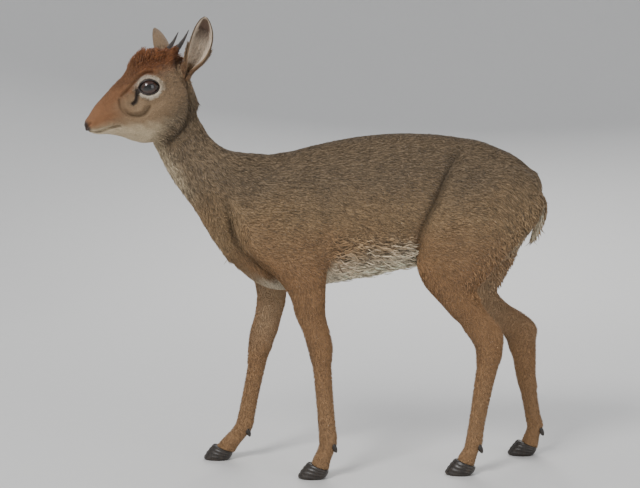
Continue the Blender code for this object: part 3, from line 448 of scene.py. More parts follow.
def new_material(name, **values):
    """A Principled material with its tree and shader, and the place on the object, in metres, as a socket."""
    made = bpy.data.materials.new(name)
    made.use_nodes = True
    tree = made.node_tree
    shader = tree.nodes["Principled BSDF"]
    set_node(tree, shader, values)
    return made, tree, shader, add_node(tree, "TexCoord", (-1300, 0)).outputs["Object"]


def set_colours(mesh, colours, name="Coat"):
    """Writes a linear colour on every vertex."""
    attribute = mesh.color_attributes.new(name, "FLOAT_COLOR", "POINT")
    opaque = np.column_stack([colours, np.ones(len(colours))]).astype(np.float32)
    attribute.data.foreach_set("color", opaque.ravel())


def set_map(mesh, places, name="OFBake"):
    """Writes a place on the flat map for every vertex, on all the corners that use it."""
    corners = np.empty(len(mesh.loops), np.int32)
    mesh.loops.foreach_get("vertex_index", corners)
    mesh.uv_layers.new(name=name).data.foreach_set("uv", places[corners].astype(np.float32).ravel())


def read_mesh(mesh):
    """Points, normals and triangles of a mesh as arrays."""
    points = np.empty(len(mesh.vertices) * 3, np.float32)
    mesh.vertices.foreach_get("co", points)
    normals = np.empty(len(mesh.vertices) * 3, np.float32)
    mesh.vertex_normals.foreach_get("vector", normals)
    mesh.calc_loop_triangles()
    triangles = np.empty(len(mesh.loop_triangles) * 3, np.int32)
    mesh.loop_triangles.foreach_get("vertices", triangles)
    return points.reshape(-1, 3).astype(float), normals.reshape(-1, 3).astype(float), triangles.reshape(-1, 3)


def through_modifiers(mesh, steps, soft=None):
    """A mesh after a list of modifiers, each a kind and its settings. Soft is a weight for each point, kept
    in twentieths as the vertex group of that name."""
    helper = new_object("helper", mesh)
    if soft is not None:
        group = helper.vertex_groups.new(name="soft")
        for level in range(1, 21):
            group.add(np.flatnonzero(np.rint(soft * 20) == level).tolist(), level / 20, "REPLACE")
    for kind, settings in steps:
        modifier = helper.modifiers.new(kind, kind)
        for key, value in settings.items():
            setattr(modifier, key, value)
    graph = bpy.context.evaluated_depsgraph_get()
    made = bpy.data.meshes.new_from_object(helper.evaluated_get(graph))
    bpy.data.objects.remove(helper)
    return made


# Where things are on the body, from 0 to 1

# Where the head and the neck start: a place on the plane between, and the way square to it.
HEAD_START, HEAD_WAY = (-168, -8, 402), (-0.802, 0.0, 0.598)
NECK_START, NECK_WAY = (-110, 0, 333), (-0.768, 0.0, 0.64)


def regions(points):
    """The share of head, neck, tail and leg at each point, from smooth steps across their joints."""
    head = ramp((points - HEAD_START) @ np.array(HEAD_WAY), -9, 9)
    neck = ramp((points - NECK_START) @ np.array(NECK_WAY), -34, 26) * (1 - head)
    tail = ramp(points[:, 0], 243, 250) * ramp(points[:, 2], 255, 265) * ramp(np.abs(points[:, 1]), 15, 11)
    leg = ramp(points[:, 2], 262, 200) * (1 - head)
    return head, neck, tail, leg


def almond(sign):
    """The opening of one eye's lids: the eye's centre and axis, the opening's middle, the ways along and
    across it, square to the axis, and half its length."""
    centre, axis = np.array(EYE_CENTRE) * (1, sign, 1), unit(np.array(EYE_AXIS) * (1, sign, 1))
    corners = [np.array((x, sign * EYE_CENTRE[1], z)) for x, z in EYE_CORNERS]
    along = corners[1] - corners[0]
    along = along - axis * (along @ axis)
    half = np.linalg.norm(along) / 2
    along = along / (2 * half)
    return centre, axis, (corners[0] + corners[1]) / 2, along, np.cross(axis, along) * sign, half


def lid_places(head_points, sign):
    """For one eye: how far out each point is along the line of sight, how far from the eye's centre, and
    how far outside the almond-shaped opening, whose height falls as (1 - u^2)^0.6 towards its corners."""
    centre, axis, middle, along, across, half = almond(sign)
    offset = head_points - middle
    u, v = offset @ along / half, offset @ across
    height = EYE_OPENING / 2 * np.maximum(1 - u * u, 0) ** 0.6
    outside = np.where(np.abs(u) < 1, np.abs(v) - height, np.hypot((np.abs(u) - 1) * half, v))
    ray = head_points - centre
    return ray @ axis, np.linalg.norm(ray, axis=1), outside, ray, v


# The skin

# The stumps that ears and horns stand on, in the head's frame: centres and radii.
EAR_STUB = ((-2, 14, 0, 7.5), (3, 18, 7, 8.0), (7, 22.5, 13, 7.4), (9.5, 26, 17.5, 5.0))
HORN_STUB = ((-10, 13, 27, 8.4), (-3, 14, 33, 7.8), (2, 14.1, 36.2, 6.8), (6, 14.2, 38.7, 5.6),
             (9, 14.3, 40.6, 4.2))


def flesh_grids():
    """The lofted forms of the flesh: trunk, neck, head, tail, and two for each leg."""
    trunk, head = ([(x, 0, *rest) for x, *rest in rows] for rows in (TRUNK, HEAD))
    neck = []
    for nape_x, nape_z, throat_x, throat_z, y, half in NECK:
        reach = math.hypot(nape_x - throat_x, nape_z - throat_z) / 2
        neck.append(((nape_x + throat_x) / 2, y, (nape_z + throat_z) / 2, reach, reach, half, 0))
    tail = [(x, 0, z, thick, thick, half, 0) for x, z, thick, half in TAIL]
    grids = [loft(trunk, 160, 96), loft(neck, 80, 80), from_head(loft(head, 120, 80)), loft(tail, 40, 24)]
    for sign in SIDES.values():
        for stub in (EAR_STUB, HORN_STUB):
            rows = [(x, sign * y, z, wide, wide, wide, 0) for x, y, z, wide in stub]
            grids.append(from_head(loft(rows, 24, 24)))
    for side in SIDES:
        for sections in (SHOULDER[side], THIGH[side]):
            rows = [((front + rear) / 2, y, z, (rear - front) / 2, (rear - front) / 2, half, 0)
                    for z, front, rear, y, half in sections]
            grids.append(loft(rows, 120, 56, level=True))
        for joints, profile in ((FORE_JOINTS[side], FORE_PROFILE), (HIND_JOINTS[side], HIND_PROFILE)):
            joints = np.array(joints, float)
            rows = []
            for place, back, front, half in profile:
                first = min(int(place), len(joints) - 2)
                centre = joints[first] + (joints[first + 1] - joints[first]) * (place - first)
                rows.append((*centre, back, front, half, 0))
            grids.append(loft(rows, 120, 48))
    return grids


# Folds and swellings of the right side of the head: a path, its width, and how far the skin moves out.
HEAD_FOLDS = (
    (((-72, 16, 12), (-60, 18, 18), (-50, 22, 23.5), (-41, 24, 26.5), (-33, 25, 25)), 1.9, -3.2),
    (((-56, 23, 17), (-49, 27, 20), (-41, 29, 22), (-33, 29.5, 20), (-27, 30, 14)), 3.6, 1.5),
    (((-76, 16, 9), (-78.5, 18, 1), (-76.5, 21, -7), (-69.5, 25, -12.5), (-60.5, 28, -13.5), (-52, 29, -9)),
     2.0, -2.3),
    (((-70, 19, 9), (-72.5, 21, 1), (-69.5, 23, -6), (-63.5, 26, -8), (-57, 28, -5)), 3.6, 3.0),
    (((-62, 21, 14), (-66, 21, 8), (-66, 23, 2)), 3.5, 1.0),
    (((-66.5, 23, 0.5), (-62.5, 23, 2), (-59, 24.5, 7), (-56.4, 25, 12), (-55, 25, 15)), 1.25, -2.0),
    (((-53, 28, 1.5), (-46, 31.5, -2), (-37, 31.5, -1), (-29, 30.5, 4)), 2.6, 0.8),
    (((-56, 29, -6), (-46, 31.5, -8), (-36, 31, -7)), 3.0, -0.7),
    (((-36, 29, -12), (-24, 31, -18), (-16, 29, -28), (-26, 26, -38)), 13.0, 2.2),
    (((3, 19, 9), (0, 26, -8), (-4, 26.5, -24), (-12, 27, -38), (-26, 25, -48), (-40, 21, -52)), 3.6, -4.0),
    (((1, 16, 27), (-2, 22, 20), (-3.5, 26, 12), (-3.5, 29, 3)), 2.2, -1.3),
    (((-118.3, 1.5, -12.2), (-116, 4.2, -13.3), (-112.5, 5.8, -15), (-107, 8.6, -15.9), (-100, 11.1, -16.3),
      (-93.5, 13, -16.6), (-87.5, 15, -18)), 1.2, -2.6),
    (((-114, 5, -17.5), (-104, 9.5, -19), (-95, 12, -21)), 2.0, 1.2),
    (((-114, 6, -10), (-104, 11, -11), (-94, 13.5, -12.5)), 2.4, 0.9),
    (((-119, 3.2, -6.8), (-117.3, 4.8, -5.2), (-114.8, 7.2, -4.4)), 1.5, -2.8),
    (((-119.5, 2, -2), (-115, 7, 0), (-111, 10, -3)), 3.5, 1.0),
    (((-96, 4, 8), (-84, 5, 14), (-72, 6, 22)), 5.0, 0.6),
)
# Places in HEAD_FOLDS: folds up to the first are measured as seen from the side.
SIDE_FOLDS, JAW_FOLD, MOUTH_FOLD, NOSTRIL_FOLD = 10, 9, 11, 14
# The head's creases, which get painted shade in the coat and shorter hair: place in HEAD_FOLDS, reach and
# share.
HEAD_CREASES = ((0, 2.0, 0.34), (2, 2.2, 0.26), (JAW_FOLD, 3.6, 0.42), (10, 2.0, 0.2))
# Creases and muscle lines of the body, each side, seen from the side in the animal's own frame: a path of x
# and z, its width, how far the skin moves out, and how deep a crease it is in the coat, from 0 to 1, which
# sets both the painted shade in the crease and the shorter hair beside it.
BODY_FOLDS = {"left": (
    (((155, 368), (149, 359), (141, 345), (134, 331), (127, 314), (120, 301), (114, 287), (108, 270),
      (105, 250)), 5.2, -6.0, 1.0),
    (((172, 352), (160, 338), (152, 322), (143, 304), (134, 284), (130, 262), (134, 244)), 15.0, 4.5, 0.0),
    (((-110, 312), (-104, 290), (-98, 268), (-84, 248), (-64, 236), (-42, 213)), 5.0, -6.0, 1.0),
    (((-92, 306), (-86, 288), (-78, 270), (-62, 254)), 12.0, 4.0, 0.0),
    (((-4, 262), (6, 285), (4, 308), (-8, 335)), 9.0, -2.0, 0.2),
    (((190, 172), (170, 186), (156, 204)), 7.0, -1.2, 0.0),
    (((204, 160), (198, 172), (188, 188)), 4.0, 1.0, 0.0),
), "right": (
    (((170, 366), (164, 356), (157, 342), (150, 326), (144, 308), (139, 288), (134, 268), (132, 250)),
     5.2, -6.0, 1.0),
    (((186, 350), (176, 336), (168, 320), (160, 300), (154, 280), (152, 260)), 15.0, 4.5, 0.0),
    (((-117, 310), (-113, 288), (-109, 266), (-100, 250), (-90, 228)), 5.0, -5.0, 1.0),
    (((-96, 306), (-92, 290), (-84, 274), (-72, 262)), 12.0, 3.2, 0.0),
    (((-20, 262), (-8, 285), (-6, 308), (-12, 335)), 9.0, -2.0, 0.2),
    (((236, 152), (214, 168), (196, 184)), 7.0, -1.2, 0.0),
)}


def body_folds(points, normals):
    """How far the body's folds move each point out, how deep it lies in a crease, and how near one, from 0 to
    1. They fall off as exp(-(distance / width)^2), the last over twice the width, seen from
    the side, on the surface that faces outwards. The depth in a crease sets the painted shade there."""
    push, crease, beside = np.zeros(len(points)), np.zeros(len(points)), np.zeros(len(points))
    for side, folds in BODY_FOLDS.items():
        chosen = np.flatnonzero((points[:, 1] * SIDES[side] > 5) & (points[:, 0] > -125) & (points[:, 2] > 140))
        outward = ramp(normals[chosen, 1] * SIDES[side], 0.0, 0.35)
        flat = points[chosen] * (1, 0, 1)
        for path, width, amount, deep in folds:
            away, along = near_path(flat, [(x, 0, z) for x, z in path])
            ends = outward * (0.2 + 0.8 * np.sin(np.pi * np.clip(along, 0.02, 0.98)) ** 0.6)
            near = ends * np.exp(-(away / width) ** 2)
            push[chosen] += amount * near
            # How deep in a crease: the share of painted shade that the coat gets here.
            crease[chosen] = np.maximum(crease[chosen], deep * near)
            beside[chosen] = np.maximum(beside[chosen], deep * ends * np.exp(-(away / (2 * width)) ** 2))
    return push, crease, beside


def side_distance(local, path, sign):
    """How far points of the head are from a path as seen from the side, on one side of the head: 30 mm is
    added on the other side."""
    away, _ = near_path(local * (1, 0, 1), [(x, 0, z) for x, _, z in path])
    return away + 30.0 * ramp(local[:, 1] * sign, 9, 5)


def fold_distance(local, n, sign=0):
    """How far points of the head are from a fold on one side, or on the nearer side. On the cheek and
    brow it is measured as seen from the side, on that side of the head."""
    if sign == 0:
        local, sign = near_side(local), 1
    if n <= SIDE_FOLDS:
        return side_distance(local, HEAD_FOLDS[n][0], sign)
    return near_path(local, [(x, sign * y, z) for x, y, z in HEAD_FOLDS[n][0]])[0]


def head_creases(local):
    """How deep points of the head, in its own frame, lie in a crease: the greatest of share times
    exp(-(distance / reach)^2). It is the depth of the painted shade there, and it also shortens the hair."""
    crease = np.zeros(len(local))
    for n, reach, share in HEAD_CREASES:
        crease = np.maximum(crease, share * np.exp(-(fold_distance(local, n) / reach) ** 2))
    return crease


def coat_depth(points):
    """How far the skin lies inside the solids: least on the face and feet, most on the trunk and neck."""
    head, neck, tail, leg = regions(points)
    local = to_head(points)
    crown = ramp(local[:, 0], -48, -30) * ramp(local[:, 2], 24, 36) * head
    depth = 2.6 + 0.6 * neck
    depth = depth * (1 - leg) + (0.7 + 0.9 * ramp(points[:, 2], 120, 230)) * leg
    depth = depth * (1 - head) + (0.7 + 0.9 * ramp(local[:, 0], -60, -10) + 0.8 * crown) * head
    return depth * (1 - tail) + 0.6 * tail


# The head's folds move the skin by this times their amounts.
FOLD_DEPTH = 1.2
# The dip above the tail's root: its place, reach and depth.
TAIL_ROOT, TAIL_ROOT_REACH, TAIL_ROOT_DEPTH = (251, 0, 329), 13.0, 4.2
# A lid's thickness, how softly it leaves the eyeball, and how far behind its surface the skin passes.
LID_THICKNESS, LID_BLEND, LID_BEHIND = 1.1, 1.6, 3.0
# The edge of the skin's lattice, and its number of triangles after it is thinned out.
SKIN_GRAIN, SKIN_TRIANGLES = 1.0, 185000
# Rounds of smoothing on the skin, then on the trunk.
SKIN_SMOOTHING, TRUNK_SMOOTHING = 26, 160


def sculpt(points, normals):
    """The skin moved along its normals: in by the coat's depth, and by each fold's amount times
    exp(-(distance / width)^2). At the eyes it is held one lid's thickness off the eyeball, and pushed in
    behind it within the opening."""
    push = body_folds(points, normals)[0] - coat_depth(points)
    root = np.linalg.norm((points - TAIL_ROOT) * (1, 0.6, 1), axis=1)
    dip = TAIL_ROOT_DEPTH * np.exp(-(root / TAIL_ROOT_REACH) ** 2)
    push = push - dip * ramp(normals[:, 0] + normals[:, 2], 0.2, 0.9)
    local = to_head(points)
    on_head = (local[:, 0] < 18) & (local[:, 2] > -62) & (points[:, 2] > 370) & (points[:, 0] < -118)
    chosen = np.flatnonzero(on_head)
    near = local[chosen]
    fold_push = np.zeros(len(near))
    for sign in SIDES.values():
        for n, (_, width, amount) in enumerate(HEAD_FOLDS):
            away = fold_distance(near, n, sign)
            fold_push += FOLD_DEPTH * amount * np.exp(-(away / width) ** 2)
    push[chosen] += fold_push
    points = points + normals * push[:, None]

    near = to_head(points[chosen])
    for sign in SIDES.values():
        facing, away, outside, ray, _ = lid_places(near, sign)
        on_eye = (facing > 1.5) & (away < EYE_RADIUS + 9)
        lid = EYE_RADIUS + LID_THICKNESS
        over = (away - lid) / LID_BLEND
        held = lid + LID_BLEND * np.log1p(np.exp(np.clip(over, -30, 30)))
        held = np.where(over > 25, away, held)
        inside = EYE_RADIUS - LID_BEHIND
        target = inside + (held - inside) * ramp(outside, -0.9, 0.5)
        share = ramp(facing, 1.5, 5.0) * on_eye
        near = near + ray * ((target / np.maximum(away, 1e-6) - 1) * share)[:, None]
    points[chosen] = from_head(near)
    return points


def skin_mesh():
    """One skin round all the lofts: they are fused on a fine lattice, smoothed, sculpted, and thinned out
    where the surface is plain."""
    parts = [(points, facing_out(points, groups)) for points, groups in map(capped_tube, flesh_grids())]
    mesh = new_mesh("flesh", *joined(parts))
    mesh = through_modifiers(mesh, [("REMESH", {"mode": "VOXEL", "voxel_size": SKIN_GRAIN})])
    points, _, _ = read_mesh(mesh)
    head, _, tail, _ = regions(points)
    trunk = (1 - head) * (1 - tail) * ramp(points[:, 2], 235, 262) * ramp(points[:, 0], 245, 225)
    everywhere = {"factor": 0.5, "iterations": SKIN_SMOOTHING}
    on_trunk = {"factor": 0.5, "iterations": TRUNK_SMOOTHING, "vertex_group": "soft"}
    mesh = through_modifiers(mesh, [("SMOOTH", everywhere), ("SMOOTH", on_trunk)], trunk)
    points, normals, _ = read_mesh(mesh)
    points = sculpt(points, normals)
    mesh.vertices.foreach_set("co", points.astype(np.float32).ravel())
    mesh.update()
    share = SKIN_TRIANGLES / (2 * len(mesh.polygons))
    mesh = through_modifiers(mesh, [("DECIMATE", {"ratio": share, "use_collapse_triangulate": True})])
    mesh.shade_smooth()
    return mesh


# The part of a foot that its coronet cuts: how far its middle is behind the toe, its reach along and across,
# the skin's height over the claws, and how far it is drawn in there.
FOOT_MIDDLE, FOOT_REACH, CORONET_GAP, FOOT_DRAWN_IN = 23.0, (34, 20), 0.3, 0.93


def over_coronet(points, toe, middle):
    """How high points are over the slanting plane on top of one foot's claws, which of them are at that
    foot, and the way square to the plane."""
    slope = np.array((CORONET_HEEL[0] - CORONET_FRONT[0], 0.0, CORONET_HEEL[1] - CORONET_FRONT[1]))
    up = unit(np.cross(slope, (0.0, 1.0, 0.0)))
    height = (points - (toe + CORONET_FRONT[0], middle, CORONET_FRONT[1])) @ up
    here = np.abs(points[:, 0] - toe - FOOT_MIDDLE) < FOOT_REACH[0]
    return height, here & (np.abs(points[:, 1] - middle) < FOOT_REACH[1]), up


def foot_cut(points):
    """The skin ends flat at each foot's coronet: what lies below its plane is moved up to it, and in a
    little, so that it stays inside the claws."""
    for toe, middle in FEET.values():
        height, here, up = over_coronet(points, toe, middle)
        here = here & (height < CORONET_GAP)
        low = points[here] - (height[here, None] - CORONET_GAP) * up
        centre = np.array((toe + FOOT_MIDDLE, middle))
        low[:, :2] = centre + (low[:, :2] - centre) * FOOT_DRAWN_IN
        points[here] = low
    return points


# Colour of skin and coat

# The gland before the eye: a path in the head's frame.
GLAND_SPOT = ((-66.5, 23, 0.5), (-62.5, 23, 2), (-59, 24.5, 7), (-56, 26, 12))


def coat_colour(points, normals, hues):
    """The coat's markings, blended by smooth steps of height, facing and place: a grizzled back, tan flanks,
    rufous legs, muzzle and crown, whitish belly, throat, inner legs, rump and eye rings, and a dark gland.
    Over them lies painted shade, darkest deep in the creases of body and head."""
    head, neck, tail, leg = regions(points)
    (x, y, z), (nx, ny, nz) = points.T, normals.T
    side = np.sign(y)
    wander = waves(points, 60, 3) * 10 + waves(points, 16, 4) * 3
    ridge = 0.5 * ramp(np.abs(y) + wander * 0.3, 24, 2) * ramp(nz, 0.5, 0.9)
    lower = ramp(z + wander, 300, 262) * ramp(x, -120, -60) * (1 - ramp(x, 190, 235))
    lower = lower * (1 - 0.6 * ramp(x, 2, 30) * ramp(x, 106, 86))
    trunk = (1 - head) * (1 - neck)
    # The belly's white stops short of the chest's front, the thighs and the outer side of the forelegs.
    under = ramp(-nz + waves(points, 12, 5) * 0.08, 0.25, 0.8)
    under = under * ramp(z, 300, 262) * ramp(z, 195, 210)
    under = under * (1 - 0.75 * ramp(x, 150, 175) * ramp(nx, 0.0, 0.4))
    under = under * (1 - ramp(x, 98, 110) * ramp(ny * side, -0.3, 0.1))
    under = under * (1 - ramp(x, 10, -15) * ramp(np.abs(y), 22, 32))
    limb = ramp(z + wander * 0.6, 268, 225) * trunk
    limb = limb * (1 - 0.85 * ramp(x, 2, 24) * ramp(x, 106, 92) * ramp(z, 200, 212))
    inner = ramp(-ny * side, -0.1, 1.0) * ramp(z + wander, 100, 240) * leg
    knee = ramp(np.abs(z - 146), 18, 6) * ramp(-nx, 0.3, 0.8) * leg
    rump = ramp(x, 216, 240) * ramp(np.abs(y), 30, 16) * ramp(z, 232, 250) * ramp(z, 314, 292)
    seat = ramp(x, 92, 112) * ramp(np.abs(y), 26, 14) * ramp(z, 196, 208) * ramp(z, 272, 250)
    colour = mixed(hues["flank"], hues["back"], ramp(z + wander, 285, 345))
    colour = painted(colour, hues, ("spine", ridge), ("legs", 0.55 * lower),
                     ("belly", under * trunk * ramp(x, -95, -45)), ("legs", limb * (1 - under)),
                     ("shank", ramp(z, 150, 60) * 0.6 * leg), ("throat", inner * 0.38), ("spine", knee * 0.22),
                     ("belly", np.maximum(rump, seat) * 0.7 * (1 - tail)))
    tail_under = ramp(-nx + 0.2 * np.abs(ny), 0.1, 0.6)
    on_tail = painted(colour, hues, ("flank", ramp(z, 325, 285)), ("belly", tail_under))
    throat = ramp(-nx * 0.5 - nz, 0.15, 0.75) * ramp(np.abs(y + 5), 26, 12)
    colour = painted(mixed(colour, on_tail, tail), hues, ("throat", throat * neck * ramp(z, 290, 350) * 0.75),
                     ("legs", neck * ramp(z, 330, 290) * 0.35 * ramp(-nx, 0.0, 0.6)))

    local = to_head(points)
    lx, _, lz = local.T
    rows = np.array(HEAD)
    middle, reach, under_reach = (np.interp(lx, rows[:, 0], rows[:, n]) for n in (1, 2, 3))
    level = (lz - middle) / np.where(lz > middle, reach, under_reach) + 0.07 * waves(points, 10, 8)
    face = mixed(hues["cheek"], hues["muzzle"], ramp(level, 0.3, 0.72))
    face = painted(face, hues, ("muzzle", ramp(lx, -66, -96) * ramp(level, -0.45, 0.1)),
                   ("crown", ramp(lx, -58, -34) * ramp(lz, 18, 32)),
                   ("throat", ramp(-level, 0.28, 0.75) * ramp(lx, 6, -12)),
                   ("throat", ramp(lx, -90, -104) * ramp(lz, -11, -15) * 0.9))
    for sign in SIDES.values():
        view, away, outside, _, v = lid_places(local, sign)
        ring = ramp(outside + 1.2 * waves(points, 6, 9), 7.0, 2.2) * ramp(view, -2, 4) * (away < 32)
        ring = ring * (0.45 + 0.55 * ramp(np.abs(v), 2, 7))
        gland = side_distance(local, GLAND_SPOT, sign)
        face = painted(face, hues, ("eye_ring", ring * 0.7), ("gland", ramp(gland, 3.4, 1.3) * 0.95),
                       ("gland", ramp(outside, 1.5, 0.6) * (view > 2) * (away < 20)))
    mouth, _ = near_path(near_side(local), HEAD_FOLDS[MOUTH_FOLD][0], 20)
    face = painted(face, hues, ("nose", ramp(lx, -114.5, -118.0) * ramp(lz, -15.5, -11.5)),
                   ("gland", ramp(mouth, 2.5, 1.1) * 0.95))
    # Painted shade: the coat is darkened where it lies deep in a crease of the body or head.
    shadow = np.maximum(0.5 * body_folds(points, normals)[1], head_creases(local))
    return mixed(colour, face, head) * (1 - shadow)[:, None]


def coat_lie(points, normals):
    """Which way the hair points: back on the head, down on neck, legs and tail, back and down on the
    trunk, blended by region, turned a little by soft noise, and laid in the surface."""
    head, neck, tail, leg = regions(points)
    local = to_head(points)
    (x, y, _), (nx, _, nz) = points.T, normals.T
    trunk = np.stack([np.full(len(x), 0.95), 0.04 * np.sign(y), -0.34 * ramp(-nz + 0.9, 0.0, 0.9)], 1)
    trunk = mixed(trunk, np.array((0.55, 0.0, -0.85)), ramp(x, 150, 225) * ramp(nz, 0.9, 0.4))
    chest = ramp(x, -60, -110) * ramp(-nx, 0.0, 0.5)
    trunk = mixed(trunk, np.array((0.35, 0.0, -0.95)), chest)
    lie = mixed(trunk, np.array((0.56, 0.0, -0.83)), neck)
    lie = mixed(lie, np.array((0.1, 0.0, -1.0)), leg)
    lie = mixed(lie, np.array((-0.15, 0.0, -1.0)), tail)
    face = np.stack([np.ones(len(x)), np.zeros(len(x)), np.where(local[:, 2] > 0, 0.12, -0.3)], 1)
    for sign in SIDES.values():
        view, away, outside, ray, _ = lid_places(local, sign)
        near = ramp(outside, 10, 2) * (view > 0) * (away < 28)
        face = mixed(face, unit(ray) + (0.5, 0, 0), near * 0.7)
    lie = mixed(lie, face @ HEAD_TURN.T, head)
    sway = np.stack([waves(points, 22, 21), waves(points, 22, 22), waves(points, 22, 23)], 1)
    lie = unit(lie) + sway * (0.16 + 0.1 * neck)[:, None] * (1 - 0.7 * head)[:, None]
    return in_surface(lie, normals)


def limb_joints(limb):
    """Whether a limb is a foreleg, its side and its joints."""
    kind, side = limb.rsplit("_", 1)
    return kind == "foreleg", side, np.array((FORE_JOINTS if kind == "foreleg" else HIND_JOINTS)[side], float)


def flat_map(points):
    """Where a point of the body lies on the flat map: trunk, neck, head, tail and each leg have their own
    panel, unrolled round its axis: one way is along the axis, the other the angle round it."""
    head, neck, tail, leg = regions(points)
    x, y, z = points.T
    lx, ly, lz = to_head(points).T

    def turned(first, second):
        """The angle whose sine and cosine go as first and second, as a share of a whole turn."""
        return np.arctan2(first, second) / (2 * np.pi) + 0.5

    on_neck = turned(y + 5, (x + 135) * 0.6 + (z - 380) * 0.8)
    panels = [
        (np.ones(len(points), bool), 0.02 + 0.52 * (x + 120) / 390, 0.02 + 0.44 * turned(y, z - 300)),
        (neck > 0.5, 0.58 + 0.18 * (z - 230) / 230, 0.02 + 0.44 * on_neck),
        (head > 0.5, 0.8 + 0.17 * (lx + 125) / 150, 0.02 + 0.44 * turned(ly, lz + 2)),
        (tail > 0.5, 0.9 + 0.08 * (z - 250) / 100, 0.86 + 0.1 * turned(y, x - 250)),
    ]
    for i, limb in enumerate(LIMBS):
        fore, side, joints = limb_joints(limb)
        middle = np.interp(-z, -joints[:, 2], joints[:, 0])
        here = (leg > 0.25) & (np.sign(y) == SIDES[side]) & ((x < 70) == fore)
        turn = turned(y - SIDES[side] * 43, x - middle)
        panels.append((here, 0.02 + 0.215 * i + 0.19 * turn, 0.5 + 0.47 * z / 262))
    place = np.zeros((len(points), 2))
    for here, along, across in panels:
        place = np.where(here[:, None], np.stack([along, across], 1), place)
    return np.clip(place, 0.004, 0.996)


# Ears, horns, eyes and hooves

def ear_frame(side):
    """The base and tip of one ear, and its axes: the way that it faces, across, and to its rear."""
    sign = SIDES[side]
    base, tip, facing = (np.array(p) * (1, sign, 1) for p in (EAR_BASE, EAR_TIPS[side], EAR_FACING))
    along = unit(tip - base)
    facing = unit(facing - along * (facing @ along))
    across = np.cross(along, facing)
    return base, tip, facing, across, across if across[0] > 0 else -across


# More rows as EAR_ROWS, for the foot of the ear inside the head, and the steps along and across an ear.
EAR_FOOT = ((-0.28, 4.5, 178), (-0.14, 5.6, 172))
EAR_STEPS, EAR_ROUND = 84, 48


def ear_surface(side, share, round_, depth):
    """A point of the ear, on an arc round the cup at a share of its length. Round runs from -1 to 1 across
    the cup, and depth is how far in from the outer face. The arc's radius is the half width over the sine
    of half its angle. Below the cup it closes to a tube that runs into the head."""
    base, tip, facing, across, behind = ear_frame(side)
    rows = smooth_rows([(s, 0, 0, half, angle) for s, half, angle in EAR_FOOT + EAR_ROWS], 300)
    half = np.interp(share, rows[:, 0], rows[:, 3])
    angle = np.radians(np.interp(share, rows[:, 0], rows[:, 4]))
    radius = half / np.maximum(np.sin(np.minimum(angle, np.pi / 2)), 0.2)
    middle = base + (tip - base) * share[..., None] + facing * (radius - half * 0.55)[..., None]
    middle = middle + behind * (EAR_SWEEP[side] * np.sin(np.pi * np.maximum(share, 0)))[..., None]
    turn = angle * round_
    r = np.maximum(radius - depth, 0.3 * radius)
    return middle - facing * (np.cos(turn) * r)[..., None] + across * (np.sin(turn) * r)[..., None]


def ear_mesh(side, hues):
    """The ear as one closed sheet: out over the back of the cup and in over its hollow, round a thick rim.
    Low ridges run up the inside, each a cosine across the cup that fades towards tip and rim."""
    share = np.linspace(-0.26, 1.0, EAR_STEPS)[:, None]
    half = np.linspace(-1, 1, EAR_ROUND)
    rim = np.linspace(0, np.pi, 7)[1:-1]
    thickness = 2.9 - 1.5 * np.clip(share, 0, 1)
    outer = ear_surface(side, share + 0 * half, half + 0 * share, 0 * share * half)
    ridges = 0.7 * np.cos(half * 9.0) * np.sin(np.pi * np.clip(share * 1.15, 0, 1)) * (1 - np.abs(half) ** 3)
    inner = ear_surface(side, share + 0 * half, half[::-1] + 0 * share, thickness + ridges[:, ::-1])
    edges = []
    for end in (1, -1):
        round_ = end * (1 + 0.02 * np.sin(rim))
        depth = thickness * (0.5 - 0.5 * np.cos(rim))
        edges.append(ear_surface(side, share + 0 * rim, round_ + 0 * share, depth))
    grid = np.concatenate([outer, edges[0], inner, edges[1][:, ::-1]], axis=1)
    points, groups = capped_tube(from_head(grid))
    over_rim = [0.3, 0.5, 0.6, 0.7, 0.8]
    inside = np.concatenate([np.zeros(EAR_ROUND), over_rim, np.ones(EAR_ROUND), over_rim[::-1]])
    across = np.concatenate([half, np.ones(5), half[::-1], -np.ones(5)])
    inside, across = inside + 0 * share, across + 0 * share
    tall = share + 0 * across
    hollow = 0.95 * ramp(inside, 0.8, 1.0) * ramp(np.abs(across), 0.92, 0.5)
    colour = painted(hues["ear_back"] + 0 * tall[..., None], hues, ("crown", 0.35 * ramp(tall, 0.35, 0.0)),
                     ("ear_inside", ramp(inside, 0.65, 0.95)),
                     ("ear_hollow", hollow * ramp(tall, 0.4, 0.75) * ramp(tall, 1.0, 0.93)),
                     ("spine", 0.8 * ramp(np.abs(inside - 0.55), 0.35, 0.1) * ramp(tall, 0.3, 0.6)))
    colours = np.vstack([colour.reshape(-1, 3), colour[0].mean(0), colour[-1].mean(0)])
    mesh = new_mesh("ear_" + side, placed(points), facing_out(points, groups))
    set_colours(mesh, colours)
    return mesh


